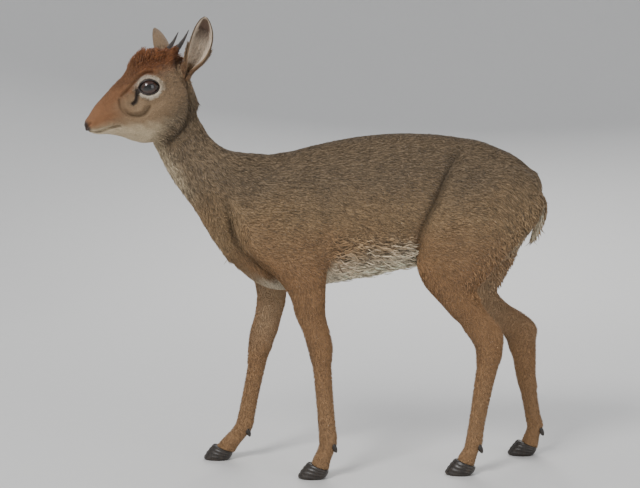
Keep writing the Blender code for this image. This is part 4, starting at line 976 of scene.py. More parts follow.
def horn_mesh(sign):
    """One horn: a cone carried along a slightly bent line. Its radius falls as length to the power 1.05, the
    rings on its lower two thirds are sharpened sine waves, and five shallow grooves run up it."""
    base, tip = (np.array(p) * (1, sign, 1) for p in (HORN_BASE, HORN_TIP))
    share = np.linspace(0.02, 1, 180)
    angle = circle(36)
    radius = HORN_RADIUS + (HORN_TIP_RADIUS * 0.6 - HORN_RADIUS) * np.maximum(share, 0) ** 1.05
    rings = 0.11 * radius * np.maximum(np.sin(2 * np.pi * share * HORN_RINGS * 1.3), 0) ** 0.7
    rings = rings * ramp(share, 0.72, 0.55)
    along = unit(tip - base)
    bend = np.array((-0.6, 0, 0.8)) * -HORN_BEND
    centre = base + (tip - base) * share[:, None] + bend * np.sin(np.pi * share)[:, None]
    first = unit(np.cross(along, (0.0, 1.0, 0.0)))
    second = np.cross(along, first)
    tilt = rings[:, None] * (1 + 0.25 * np.cos(angle))
    wide = radius[:, None] + tilt - 0.06 * radius[:, None] * np.cos(angle * 5) * ramp(share, 0.9, 0.3)[:, None]
    outwards = np.cos(angle)[:, None] * first + np.sin(angle)[:, None] * second
    grid = centre[:, None] + wide[..., None] * outwards
    points, groups = capped_tube(from_head(grid))
    return new_mesh("horn", placed(points), facing_out(points, groups))


# How far the eyeball lies inside its solid, and the cornea's swell and half angle.
EYE_INSET, CORNEA_SWELL, CORNEA_ANGLE = 0.35, 0.55, 0.62
# The iris's half angle, and the pupil's half width and height as shares of it.
IRIS_ANGLE, PUPIL = 0.78, (0.72, 0.36)


def eye_mesh(sign, hues):
    """The eyeball: a sphere whose front swells into the cornea by a smooth bump of its angle from the axis.
    The level, oval pupil, the streaked brown iris and the dark rim are smooth steps of that angle."""
    centre, axis, *_ = almond(sign)
    level = unit(np.cross(axis, (0.0, 0.0, 1.0)))
    up = np.cross(level, axis)
    tilt = np.linspace(0.0, np.pi, 64)[1:-1]
    angle = circle(72)
    radius = EYE_RADIUS - EYE_INSET + CORNEA_SWELL * np.exp(-(tilt / CORNEA_ANGLE) ** 4)
    ring = np.cos(angle)[:, None] * level + np.sin(angle)[:, None] * up
    t, reach = tilt[:, None, None], radius[:, None, None]
    points, groups = capped_tube(from_head(centre + reach * (np.cos(t) * axis + np.sin(t) * ring)))
    t, a = np.meshgrid(tilt, angle, indexing="ij")
    u, v = t * np.cos(a) / IRIS_ANGLE, t * np.sin(a) / IRIS_ANGLE
    pupil = ramp(np.hypot(u / PUPIL[0], v / PUPIL[1]), 1.06, 0.94)
    streaks = 0.5 + 0.5 * np.sin(a * 37 + 3 * np.sin(a * 11)) * np.sin(a * 61)
    iris = mixed(hues["iris"] + 0 * u[..., None], hues["iris"] * 0.45, streaks * 0.8)
    colour = mixed(iris, hues["pupil"], pupil)
    colour = mixed(colour, hues["pupil"] * 1.6, ramp(t, 0.68, 0.82))
    colour = mixed(colour, hues["sclera"], ramp(t, 0.92, 1.05))
    mesh = new_mesh("eye", placed(points), facing_out(points, groups))
    set_colours(mesh, np.vstack([colour.reshape(-1, 3), hues["pupil"], hues["sclera"]]), "Eye")
    return mesh


# Steps round the lids' rim and its section, the section's half sizes, and its height on the eye.
LID_STEPS, LID_ROUND, LID_RIM, LID_SEAT = 96, 12, (0.85, 0.65), 0.35


def lid_margin(sign):
    """The lids' bare rim: a flattened tube round the almond-shaped opening, lying on the eye."""
    centre, axis, middle, along, across, half = almond(sign)
    turn = circle(LID_STEPS)
    lift = np.sign(np.sin(turn)) * np.abs(np.sin(turn)) ** 1.15
    flat = middle + along * (half * np.cos(turn))[:, None] + across * (EYE_OPENING / 2 * lift)[:, None]
    ray = flat - centre
    ray = ray - axis * (ray @ axis)[:, None]
    wide = np.minimum(np.linalg.norm(ray, axis=1), EYE_RADIUS * 0.985)
    ray = unit(ray) * wide[:, None]
    seat = np.sqrt(np.maximum((EYE_RADIUS + LID_SEAT) ** 2 - wide ** 2, 0.0))
    line = centre + ray + axis * seat[:, None]
    ahead = unit(np.roll(line, -1, axis=0) - np.roll(line, 1, axis=0))
    out = unit(line - centre)
    side = np.cross(ahead, out)
    round_ = circle(LID_ROUND)
    beside = (LID_RIM[0] * np.cos(round_))[None, :, None]
    over = (LID_RIM[1] * np.sin(round_))[None, :, None]
    points = from_head((line[:, None] + side[:, None] * beside + out[:, None] * over).reshape(-1, 3))
    return points, grid_faces(LID_STEPS + 1, LID_ROUND) % len(points), line, out


def claw_mesh(toe, middle, sign, seed):
    """One claw: rings from floor to coronet, straight inside and round outside, with low growth
    ridges, each a sine of height, and a little wander so that no two are alike."""
    slope = (CORONET_HEEL[1] - CORONET_FRONT[1]) / (CORONET_HEEL[0] - CORONET_FRONT[0])
    rows = smooth_rows([(share, 0, 0, front, rear, wide) for share, front, rear, wide in CLAW_STEPS], 40)
    share, front, rear, wide = (rows[:, n][:, None] for n in (0, 3, 4, 5))
    share = np.clip(share, 0, 1)
    steps = 30
    t = np.concatenate([(np.arange(steps) + 0.5) / steps, (steps - np.arange(steps) - 0.5) / steps])
    outer = np.arange(2 * steps) < steps
    toe_half, heel_half = np.abs(1 - t / 0.6), np.clip((t - 0.6) / 0.4, 0, 1)
    bulge = np.where(t < 0.6, (1 - toe_half ** 2) ** 0.6, (1 - heel_half ** 3) ** 0.5)
    draw = np.random.default_rng(seed)
    ridge = 1 + 0.018 * np.sin(share * 26 + draw.uniform(0, 6)) * ramp(share, 0.02, 0.15)
    hollow = 0.12 * CLAW_WIDTH * np.abs(2 * t - 1) ** 3
    y = CLEFT / 2 + np.where(outer, CLAW_WIDTH * wide * bulge * ridge, hollow)
    x = front + (rear - front) * t + 0.25 * np.sin(share * 26 + 1) * ramp(t, 0.3, 0.0) * ramp(share, 0.05, 0.2)
    z = share * (CORONET_FRONT[1] + slope * (x - CORONET_FRONT[0]))
    grid = np.stack([toe + x, middle + sign * (y + 0 * x), z + 0 * x], -1)
    points, groups = capped_tube(grid)
    return points, facing_out(points, groups)


def dewclaw_surfaces(limb):
    """Two small claws behind the fetlock, each a pointed egg: its radius is the sine of the angle from its
    top, drawn in towards the lower end."""
    _, _, joints = limb_joints(limb)
    pastern = unit(joints[-1] - joints[-2])
    behind = np.cross((0.0, 1.0, 0.0), pastern)
    behind = behind if behind[0] > 0 else -behind
    found = []
    for sign in (-1, 1):
        place = joints[-2] + behind * DEWCLAW_SETBACK + pastern * 4.0 + np.array((0, sign * DEWCLAW_SPREAD, 0))
        down = np.linspace(0, np.pi, 26)[1:-1]
        round_ = circle(20)
        wide = np.sin(down) * (1 - 0.25 * (1 - np.cos(down)) / 2) * (1 + 0.03 * np.sin(down * 14))
        grid = np.stack([DEWCLAW[0] * wide[:, None] * np.cos(round_),
                         DEWCLAW[1] * wide[:, None] * np.sin(round_),
                         DEWCLAW[2] * np.cos(down)[:, None] + 0 * round_], -1)
        points, groups = capped_tube(grid @ tilted(-DEWCLAW_TILT).T + place)
        found.append((points, facing_out(points, groups)))
    return found


# Materials

# The scale of a noise is its waves to the metre: 900 gives grain about 1.1 mm wide, and 110 blotches of 9 mm.

def coat_material(name, wear):
    """Hide with short fur: the painted marking, broken up by fine noise drawn out like hair, which also
    raises the surface. The sheen is the soft light on the tips of dry hair. The grain is coarser than real
    hair, so that it shows."""
    made, tree, shader, where = new_material(name, **{
        "Roughness": 0.82, "Specular IOR Level": 0.28, "Sheen Weight": 0.09, "Sheen Roughness": 0.5})
    markings = add_node(tree, "VertexColor", (-900, 200), layer_name="Coat")
    fine = add_node(tree, "TexNoise", (-1000, -50), where, Scale=900.0, Detail=4.0, Roughness=0.65)
    broad = add_node(tree, "TexNoise", (-1000, -300), where, Scale=110.0, Detail=3.0, Roughness=0.6)
    shade = add_node(tree, "MapRange", (-750, -50), fine, **{"To Min": 1 - wear, "To Max": 1 + wear * 0.7})
    tint = add_node(tree, "MapRange", (-750, -300), broad, **{"To Min": 0.86, "To Max": 1.12})
    product = add_node(tree, "Math", (-550, -150), shade, tint, operation="MULTIPLY")
    colour = add_node(tree, "VectorMath", (-350, 150), markings, operation="SCALE", Scale=product)
    bump = add_node(tree, "Bump", (-300, -300), Strength=0.35, Distance=0.0006, Height=fine)
    set_node(tree, shader, {"Base Color": colour, "Normal": bump})
    return made


# Waves to the metre of horn and hoof fibres on X, Y and Z: few along the horn and up the hoof.
HORN_FIBRES, HOOF_FIBRES = (260.0, 900.0, 260.0), (700.0, 700.0, 90.0)


def horn_material(name, dark, light, scale, roughness):
    """Horn keratin: dark, with paler fibres drawn out along its length and blotches in its gloss."""
    made, tree, shader, where = new_material(name, **{
        "Roughness": roughness, "Specular IOR Level": 0.5, "Coat Weight": 0.12, "Coat Roughness": 0.35})
    drawn = add_node(tree, "Mapping", (-1100, 0), where, Scale=scale)
    fibres = add_node(tree, "TexNoise", (-900, 100), drawn, Scale=1.0, Detail=5.0, Roughness=0.6)
    blotches = add_node(tree, "TexNoise", (-900, -200), where, Scale=150.0, Detail=3.0)
    band = add_node(tree, "ValToRGB", (-650, 100), fibres, stops=((0.35, dark), (0.75, light)))
    gloss = add_node(tree, "MapRange", (-650, -200), blotches, **{
        "To Min": roughness - 0.12, "To Max": roughness + 0.14})
    bump = add_node(tree, "Bump", (-300, -300), Strength=0.4, Distance=0.0004, Height=fibres)
    set_node(tree, shader, {"Base Color": band, "Roughness": gloss, "Normal": bump})
    return made


def eye_material():
    """A wet eye: the painted iris and pupil under a clear, glossy coat for the cornea."""
    made, tree, shader, where = new_material("eye_wet", **{
        "Roughness": 0.22, "Coat Weight": 1.0, "Coat Roughness": 0.02, "Coat IOR": 1.38,
        "Specular IOR Level": 0.5})
    paint = add_node(tree, "VertexColor", (-700, 100), layer_name="Eye")
    noise = add_node(tree, "TexNoise", (-700, -200), where, Scale=600.0, Detail=3.0)
    bump = add_node(tree, "Bump", (-300, -200), Strength=0.03, Distance=0.0002, Height=noise)
    set_node(tree, shader, {"Base Color": paint, "Normal": bump})
    return made


def bare_skin_material(colour):
    """Bare dark skin, moist, with fine pores in its surface: the lid margins."""
    made, tree, shader, where = new_material("bare_skin", **{"Roughness": 0.38, "Specular IOR Level": 0.5})
    pores = add_node(tree, "TexVoronoi", (-900, -150), where, Scale=1400.0)
    noise = add_node(tree, "TexNoise", (-900, 150), where, Scale=500.0, Detail=3.0)
    band = add_node(tree, "ValToRGB", (-600, 150), noise, stops=((0.0, colour * 0.6), (1.0, colour * 1.5)))
    bump = add_node(tree, "Bump", (-300, -200), Strength=0.3, Distance=0.0003, Height=pores)
    set_node(tree, shader, {"Base Color": band, "Normal": bump})
    return made


def floor_material(colour):
    """Matt studio paper: one pale colour with a faint grain."""
    made, tree, shader, where = new_material("studio_paper", **{"Roughness": 0.9, "Specular IOR Level": 0.2})
    grain = add_node(tree, "TexNoise", (-700, 0), where, Scale=60.0, Detail=4.0)
    band = add_node(tree, "ValToRGB", (-450, 0), grain, stops=((0.0, colour * 0.97), (1.0, colour)))
    set_node(tree, shader, {"Base Color": band})
    return made


# Settings

def hue(name, code, note):
    """A colour that is kept as linear values and given here as sRGB hex."""
    return bpy.props.FloatVectorProperty(name=name, description=note, subtype="COLOR", size=3, min=0.0, max=1.0,
                                         default=tuple(linear(code)))


class DikDikHues(bpy.types.PropertyGroup):
    """Colours of skin and coat, and of the bare parts."""
    back: hue("Back", "7B6952", "Grizzled grey-brown of the back and neck")
    spine: hue("Spine", "463C31", "Darker line along the spine and the ears' edges")
    flank: hue("Flank", "917858", "Paler, warmer grey-brown of the flanks")
    legs: hue("Legs", "93704D", "Tan of the shoulders, thighs and legs")
    shank: hue("Shanks", "9C7B58", "Paler tan below the knees")
    belly: hue("Belly", "DACDB4", "Whitish belly, inner legs and rump")
    throat: hue("Throat", "C8B698", "Pale throat, chin and lips")
    cheek: hue("Cheek", "8D7559", "Grey-tan sides of the face")
    muzzle: hue("Muzzle", "80593B", "Rufous top of the nose")
    crown: hue("Crown", "784A29", "Rufous crown")
    eye_ring: hue("Eye ring", "DCD2BE", "Whitish ring round the eye")
    gland: hue("Gland", "241B16", "Dark gland before the eye and bare lids")
    nose: hue("Nose", "3A2E28", "Dark skin of the nose and the line of the mouth")
    ear_back: hue("Ear, outside", "7F6950", "Outer side of the ears")
    ear_inside: hue("Ear, inside", "CDBBA6", "Pale skin and hair inside the ears")
    ear_hollow: hue("Ear hollow", "5A4538", "Darker skin in the upper hollow of the ear")
    iris: hue("Iris", "3C2111", "Brown of the iris")
    pupil: hue("Pupil", "070605", "Black of the pupil")
    sclera: hue("Eyeball", "2A1C14", "Dark brown rim of the eyeball")
    horn: hue("Horn", "1F1A17", "Black-brown horn")
    horn_fibre: hue("Horn fibres", "4A3D33", "Paler fibres in horn")
    hoof: hue("Hoof", "1C1815", "Black-brown hoof")
    hoof_fibre: hue("Hoof fibres", "3F352C", "Paler fibres in the hoof")
    floor: hue("Floor", "D9D8D5", "Pale studio floor")


def length(name, default, note, low=0.0, high=100.0):
    """A length that is kept in metres and given here in millimetres."""
    return bpy.props.FloatProperty(name=name, description=note, default=default * MM, min=low * MM,
                                   max=high * MM, subtype="DISTANCE", unit="LENGTH", precision=4)


class DikDikSizes(bpy.types.PropertyGroup):
    """Sizes of the coat and of the studio."""
    body_hair: length("Body hair", 8.5, "Length of the tufts on the trunk")
    neck_hair: length("Neck hair", 9.5, "Length of the tufts on the neck")
    face_hair: length("Face hair", 2.4, "Length of the tufts on the face")
    leg_hair: length("Leg hair", 4.2, "Length of the tufts on the lower legs")
    crown_hair: length("Crown hair", 12.0, "Length of the crown's crest")
    tail_hair: length("Tail hair", 15.0, "Length of the tail's tufts")
    belly_hair: length("Belly hair", 18.0, "Length of the wavy fringe along the belly")
    tuft_width: length("Tuft width", 1.25, "Width of a body tuft at its widest", 0.1, 10.0)
    spacing: length("Tuft spacing", 1.7, "Distance between tufts on the trunk", 0.5, 10.0)
    light: bpy.props.FloatProperty(name="Light", description="Strength of the main lamp", default=54.0, min=0.0,
                                   unit="POWER")


def settings(context):
    """The colours as arrays by name, and the sizes."""
    hues = {key: np.array(getattr(context.scene.dik_dik_hues, key)) for key in DikDikHues.__annotations__}
    return hues, context.scene.dik_dik_sizes


def fur_material():
    """The one material of skin, ears and coat."""
    return bpy.data.materials.get("short_fur") or coat_material("short_fur", 0.22)


# Operators

class DIKDIK_OT_skin(bpy.types.Operator):
    """Builds the skin, one closed surface that stands for all the solids of the flesh"""
    bl_idname = "dikdik.skin"
    bl_label = "Skin"

    def execute(self, context):
        hues, _ = settings(context)
        mesh = skin_mesh()
        points, normals, _ = read_mesh(mesh)
        points = foot_cut(points)
        set_colours(mesh, coat_colour(points, normals, hues))
        mesh.vertices.foreach_set("co", placed(points).astype(np.float32).ravel())
        mesh.update()
        mesh.name = "skin"
        legs = [f"{limb}_{part}" for limb in LIMBS for part in ("upper", "cannon", "foot")]
        add_piece("skin", mesh, fur_material(), ["head", "neck", "torso", "tail", *legs])
        return {"FINISHED"}


class DIKDIK_OT_ears(bpy.types.Operator):
    """Builds the two cupped ears"""
    bl_idname = "dikdik.ears"
    bl_label = "Ears"

    def execute(self, context):
        hues, _ = settings(context)
        for side in SIDES:
            add_piece("ear_skin_" + side, ear_mesh(side, hues), fur_material(), ["ear_" + side])
        return {"FINISHED"}


class DIKDIK_OT_eyes(bpy.types.Operator):
    """Builds the eyeballs, the bare rims of the lids and the lashes"""
    bl_idname = "dikdik.eyes"
    bl_label = "Eyes"

    def execute(self, context):
        hues, _ = settings(context)
        wet, bare = eye_material(), bare_skin_material(hues["gland"])
        for side, sign in SIDES.items():
            add_piece("eyeball_" + side, eye_mesh(sign, hues), wet, ["eye_" + side])
            points, faces, _, _ = lid_margin(sign)
            mesh = new_mesh("lids", placed(points), facing_out(points, [faces]))
            add_piece("lid_margin_" + side, mesh, bare, [])
            add_piece("lashes_" + side, lash_mesh(sign), bare, [])
        return {"FINISHED"}


class DIKDIK_OT_horns(bpy.types.Operator):
    """Builds the two short, ringed horns"""
    bl_idname = "dikdik.horns"
    bl_label = "Horns"

    def execute(self, context):
        hues, _ = settings(context)
        material = horn_material("horn_keratin", hues["horn"], hues["horn_fibre"], HORN_FIBRES, 0.42)
        for side, sign in SIDES.items():
            add_piece("horn_sheath_" + side, horn_mesh(sign), material, ["horn_" + side])
        return {"FINISHED"}


class DIKDIK_OT_hooves(bpy.types.Operator):
    """Builds the claws of the four feet and the dewclaws behind them"""
    bl_idname = "dikdik.hooves"
    bl_label = "Hooves"

    def execute(self, context):
        hues, _ = settings(context)
        material = horn_material("hoof_keratin", hues["hoof"], hues["hoof_fibre"], HOOF_FIBRES, 0.4)
        for n, limb in enumerate(LIMBS):
            claws = [claw_mesh(*FEET[limb], sign, 2 * n + (sign + 1) // 2) for sign in (-1, 1)]
            for i, (points, groups) in enumerate(claws + dewclaw_surfaces(limb)):
                kind = "claw" if i < 2 else "dewclaw"
                mesh = new_mesh(kind, placed(points), groups)
                place = f"{limb}_{i % 2 + 1}"
                add_piece(f"{kind}_horn_{place}", mesh, material, [f"{kind}_{place}"])
        return {"FINISHED"}


# The coat

# A tuft's size on the flat map, how far its middle and tip keep off the skin, and how deep its root lies.
PATCH, CLEAR, ROOT_DEPTH = 0.003, 0.7, 0.4
# How much a tuft levels out: its height is this share less at its tip than if it rose straight.
LEVELLING = 0.45
# The steepest sine that keeping clear may give a tuft, and the most triangles in a piece of coat.
STEEPEST, COAT_TRIANGLES = 0.68, 195000
# The lattices' widths, of which the one nearest to the spacing is used, the draws for each cell, and the
# most cells each way.
LATTICE, DRAWS, CELLS = (0.95, 1.1, 1.3, 1.6, 2.0, 2.5, 3.2), 4.0, 8192
# Along a tuft: shares of its length and of its full width. Its section, across and up, in widths.
TUFT_PLACES, TUFT_WIDTHS = (0, 0.33, 0.75, 1), (0.6, 1.0, 0.7, 0)
TUFT_SECTION = ((-0.5, -0.1), (0.5, -0.1), (0.0, 0.3))
# Hair of full length has this spacing. Shorter hair is finer, and the spacing setting scales it all.
FULL_HAIR, FULL_SPACING, USUAL_SPACING = 8.5, 2.05, 1.7


def scatter(points, normals, triangles, spacing, draw):
    """Roots spread evenly over a surface: triangles are drawn in proportion to area over spacing squared,
    and a place in each; of those in one cell of a cubic lattice, as wide as the spacing, one is kept."""
    corners = points[triangles]
    area = 0.5 * np.linalg.norm(np.cross(corners[:, 1] - corners[:, 0], corners[:, 2] - corners[:, 0]), axis=1)
    gap = spacing[triangles].mean(axis=1)
    total = np.cumsum(DRAWS * area / gap ** 2)
    picked = np.searchsorted(total, draw.random(int(total[-1])) * total[-1])
    a, b = np.sqrt(draw.random(len(picked))), draw.random(len(picked))
    shares = np.stack([1 - a, a * (1 - b), a * b], 1)
    spots = np.einsum("nk,nkd->nd", shares, corners[picked])
    facing = unit(np.einsum("nk,nkd->nd", shares, normals[triangles[picked]]))
    steps = np.array(LATTICE)
    size = np.argmin(np.abs(np.log(steps)[None] - np.log(gap[picked])[:, None]), axis=1)
    cell = np.floor(spots / steps[size][:, None]).astype(np.int64) + CELLS // 2
    key = ((size * CELLS + cell[:, 0]) * CELLS + cell[:, 1]) * CELLS + cell[:, 2]
    _, kept = np.unique(key, return_index=True)
    return spots[kept], facing[kept]


def tufts(roots, facing, lie, length, width, lift, curl, sections, draw):
    """A closed tapering tuft for each root: a three-sided tube along a line that leaves the skin at the angle
    of lift and levels out, wavers sideways as a sine, swells to a third of its length and shrinks to a
    point. Returns points, triangles, and each point's share of length and place on a tuft's flat map."""
    count = len(roots)
    share = np.append(np.arange(sections) / sections, 1.0)
    across = unit(np.cross(facing, lie))
    phase = draw.random(count) * 2 * np.pi
    bend = (curl * length)[:, None] * (np.sin(share * 5.0 + phase[:, None]) - np.sin(phase)[:, None])
    ahead = length[:, None] * share * np.cos(lift)[:, None]
    rise = length[:, None] * np.sin(lift)[:, None] * share * (1 - LEVELLING * share) - ROOT_DEPTH
    line = (roots[:, None] + lie[:, None] * ahead[..., None] + facing[:, None] * rise[..., None]
            + across[:, None] * bend[..., None])
    wide = width[:, None] * np.interp(share, TUFT_PLACES, TUFT_WIDTHS)
    corners = np.array(TUFT_SECTION)
    ring = (line[:, :-1, None] + across[:, None, None] * (corners[:, 0] * wide[:, :-1, None])[..., None]
            + facing[:, None, None] * (corners[:, 1] * wide[:, :-1, None])[..., None])
    points = np.concatenate([ring.reshape(count, -1, 3), line[:, -1:]], axis=1)
    each = 3 * sections + 1
    faces = [(0, 2, 1)]
    for i in range(sections - 1):
        for a, b in ((0, 1), (1, 2), (2, 0)):
            low, high = 3 * i, 3 * i + 3
            faces += [(low + a, low + b, high + b), (low + a, high + b, high + a)]
    faces += [(each - 4 + a, each - 4 + b, each - 1) for a, b in ((0, 1), (1, 2), (2, 0))]
    triangles = (np.array(faces)[None] + each * np.arange(count)[:, None, None]).reshape(-1, 3)
    along = np.append(np.repeat(share[:-1], 3), 1.0)
    offset = np.stack([np.append(np.tile((0.0, 1.0, 0.5), sections), 0.5), along], 1)
    return points, triangles, along, offset


def lash_mesh(sign):
    """Lashes: thin tufts on the upper lid's rim, longest in the middle."""
    _, _, line, out = lid_margin(sign)
    upper = np.flatnonzero(line[:, 2] > EYE_CENTRE[2] - 1.0)
    roots, facing = line[upper], out[upper]
    away = unit(roots - np.array(EYE_CENTRE) * (1, sign, 1))
    away = unit(away * (1, 0.2, 1) + (0.1, 0, 0.2))
    lie = in_surface(away, facing)
    draw = np.random.default_rng(60 + sign)
    middle = ramp(roots[:, 2], EYE_CENTRE[2] - 1.0, EYE_CENTRE[2] + 6.0)
    length = (1.6 + 2.2 * middle) * draw.uniform(0.8, 1.1, len(roots))
    each = np.ones(len(roots))
    points, triangles, _, _ = tufts(roots, facing, lie, length, 0.35 * each, np.radians(50) * each, 0.03 * each,
                                    3, draw)
    return new_mesh("lashes", placed(from_head(points.reshape(-1, 3))), triangles)


def cleared(roots, facing, lie, length, lift):
    """The lift that keeps each tuft's middle and tip at least CLEAR above the skin: a shrinkwrap moves
    points there out of it, and the lift is raised by what they gained."""
    skin = bpy.data.objects["skin"]
    wanted = lift.copy()
    for share in (0.5, 1.0):
        rise = length * np.sin(lift) * share * (1 - LEVELLING * share) - ROOT_DEPTH
        spots = roots + lie * (length * share * np.cos(lift))[:, None] + facing * rise[:, None]
        mesh = bpy.data.meshes.new("spots")
        mesh.vertices.add(len(spots))
        mesh.vertices.foreach_set("co", placed(spots).astype(np.float32).ravel())
        outside = {"target": skin, "wrap_mode": "OUTSIDE", "offset": CLEAR * MM}
        mesh = through_modifiers(mesh, [("SHRINKWRAP", outside)])
        moved, _, _ = read_mesh(mesh)
        gain = np.maximum(np.sum((own(moved) - spots) * facing, axis=1), 0)
        sine = (rise + gain + ROOT_DEPTH) / (length * share * (1 - LEVELLING * share))
        wanted = np.maximum(wanted, np.arcsin(np.clip(sine, 0, STEEPEST)))
    return wanted


def add_coat(name, roots, facing, lie, length, width, lift, curl, sections, places, colours, spread):
    """Pieces of coat from roots, in bands, each with under 200,000 triangles. A tuft has painted shade at its
    root, where the coat around shades it, and near its tip goes lighter or darker by chance, as banded hair
    does."""
    draw = np.random.default_rng(len(roots))
    triangles_each = 6 * sections - 2
    bands = -(-len(roots) // int(COAT_TRIANGLES / triangles_each))
    order = np.argsort(roots[:, 0], kind="stable")
    for band, chosen in enumerate(np.array_split(order, bands)):
        points, triangles, along, offset = tufts(roots[chosen], facing[chosen], lie[chosen], length[chosen],
                                                 width[chosen], lift[chosen], curl[chosen], sections, draw)
        count = len(chosen)
        tone = 1 + spread[chosen] * draw.normal(0, 1, count)
        tip = 1 + 2.0 * spread[chosen] * draw.normal(0.35, 1, count)
        # Painted shade: a tuft brightens from low at its shaded root to 1.02 by half its length, and takes on
        # its tip's tone from 0.35 of it on.
        low = 0.86 - 0.8 * spread[chosen][:, None]
        shade = np.clip((low + (1.02 - low) * np.minimum(along / 0.5, 1)[None]) * tone[:, None]
                        * (1 + (tip - 1)[:, None] * np.clip((along - 0.35) / 0.5, 0, 1)), 0.35, 1.7)
        colour = np.clip(colours[chosen][:, None] * shade[..., None], 0, 1)
        place = places[chosen][:, None] + (offset - 0.5) * PATCH
        mesh = new_mesh(name, placed(points.reshape(-1, 3)), triangles)
        set_colours(mesh, colour.reshape(-1, 3))
        set_map(mesh, place.reshape(-1, 2))
        suffix = f"_{band + 1}" if bands > 1 else ""
        add_piece(name + suffix, mesh, fur_material(), [])


def skin_data():
    """The finished skin in the animal's own millimetres, with its facings and triangles."""
    points, normals, triangles = read_mesh(bpy.data.objects["skin"].data)
    return own(points), normals, triangles


def hair_plan(points, normals, sizes):
    """Spacing, length and width of tufts at points of the skin, in mm, blended by region. On bare skin (nose,
    gland, lids, the cut above the claws) the length is nought."""
    head, neck, tail, leg = regions(points)
    local = to_head(points)
    mirrored = near_side(local)
    lx, _, lz = local.T
    body, low = sizes.body_hair / MM, sizes.leg_hair / MM
    z = points[:, 2]
    drop = ramp(z, 262, 165) * (1 - head)
    size = body + (low - body) * drop
    size = size + (sizes.neck_hair / MM - size) * neck
    size = size * (1 + 0.25 * ramp(-normals[:, 2], 0.3, 0.9) * (1 - leg) * (1 - head))
    size = size * (1 + 0.35 * ramp(points[:, 0], 190, 235) * (1 - drop) * ramp(z, 326, 296))
    size = size * (1 - 0.4 * tail * ramp(z, 300, 322))
    size = size * (1 - 0.6 * body_folds(points, normals)[2])
    size = size + (low * 0.8 - size) * ramp(z, 45, 22)
    back = ramp(lx, -70, -5) * ramp(lz, -5, 25)
    face = sizes.face_hair / MM * (0.55 + 0.45 * ramp(lx, -112, -85)) * (1 + 1.2 * back)
    face = face + (sizes.face_hair / MM * 1.9 - face) * ramp(lx, -45, 5)
    size = size + (face - size) * head
    jaw_line, _ = near_path(mirrored, HEAD_FOLDS[JAW_FOLD][0], 20)
    size = size * (1 - np.maximum(0.65 * np.exp(-(jaw_line / 9.0) ** 2), 1.4 * head_creases(local)))
    bare = ramp(lx, -112.5, -116.5) * head
    for sign in SIDES.values():
        view, away, outside, _, _ = lid_places(local, sign)
        bare = np.maximum(bare, head * ramp(outside, 1.6, 0.9) * (view > 0) * (away < 24))
        bare = np.maximum(bare, head * ramp(side_distance(local, GLAND_SPOT, sign), 2.6, 1.6))
    for fold, wide in ((MOUTH_FOLD, 2.2), (NOSTRIL_FOLD, 2.4)):
        away, _ = near_path(mirrored, HEAD_FOLDS[fold][0], 20)
        bare = np.maximum(bare, head * ramp(away, wide, 0.6 * wide))
    for toe, middle in FEET.values():
        height, here, _ = over_coronet(points, toe, middle)
        bare = np.where(here, np.maximum(bare, ramp(height, 1.0, 0.6)), bare)
    full = np.clip(size / FULL_HAIR, 0.3, 1.3)
    spacing = FULL_SPACING * full ** 0.55 * (1 + 0.13 * leg + 0.03 * (1 - head))
    width = full ** 0.6 * sizes.tuft_width / MM * (1 + 0.08 * leg)
    return spacing * sizes.spacing / MM / USUAL_SPACING, np.where(bare > 0.5, 0.0, size), width


class DIKDIK_OT_coat(bpy.types.Operator):
    """Lays the short coat over the skin, in small closed tufts that follow the lie of the hair"""
    bl_idname = "dikdik.coat"
    bl_label = "Coat"

    def execute(self, context):
        hues, sizes = settings(context)
        draw = np.random.default_rng(11)
        points, normals, triangles = skin_data()
        spacing, size, _ = hair_plan(points, normals, sizes)
        kept = triangles[size[triangles].min(axis=1) > 0]
        roots, facing = scatter(points, normals, kept, spacing, draw)
        _, size, width = hair_plan(roots, facing, sizes)
        size = np.maximum(size, 1.2)
        lie = laid(coat_lie(roots, facing), facing, draw, 0.13)
        colours = coat_colour(roots, facing, hues)
        head, neck, tail, leg = regions(roots)
        length = size * draw.uniform(0.75, 1.2, len(roots))
        lift = np.radians(np.clip(draw.normal(15, 4, len(roots)) + 3 * waves(roots, 14, 31) - 5 * head, 6, 28))
        lift = cleared(roots, facing, lie, length, lift)
        curl = draw.normal(0, 0.02, len(roots)) + 0.05 * (1 - head) * (1 - leg)
        # How much the tufts' tone varies, and how deep the painted shade at their roots is.
        spread = 0.1 + 0.1 * ramp(roots[:, 2], 240, 300) * (1 - head) + 0.05 * neck + 0.05 * head
        part = np.where(head > 0.5, 1, np.where(tail > 0.5, 2, np.where(leg > 0.5, 3, 0)))
        for n, name in enumerate(("coat_body", "coat_head", "coat_tail", "coat_legs")):
            at = np.nonzero(part == n)[0]
            if len(at):
                add_coat(name, roots[at], facing[at], lie[at], length[at], width[at], lift[at], curl[at],
                         2, flat_map(roots[at]), colours[at], spread[at])
        return {"FINISHED"}


# Longer hair

# A tuft longer than this has four sections, and a shorter one three.
LONG_TUFT = 16


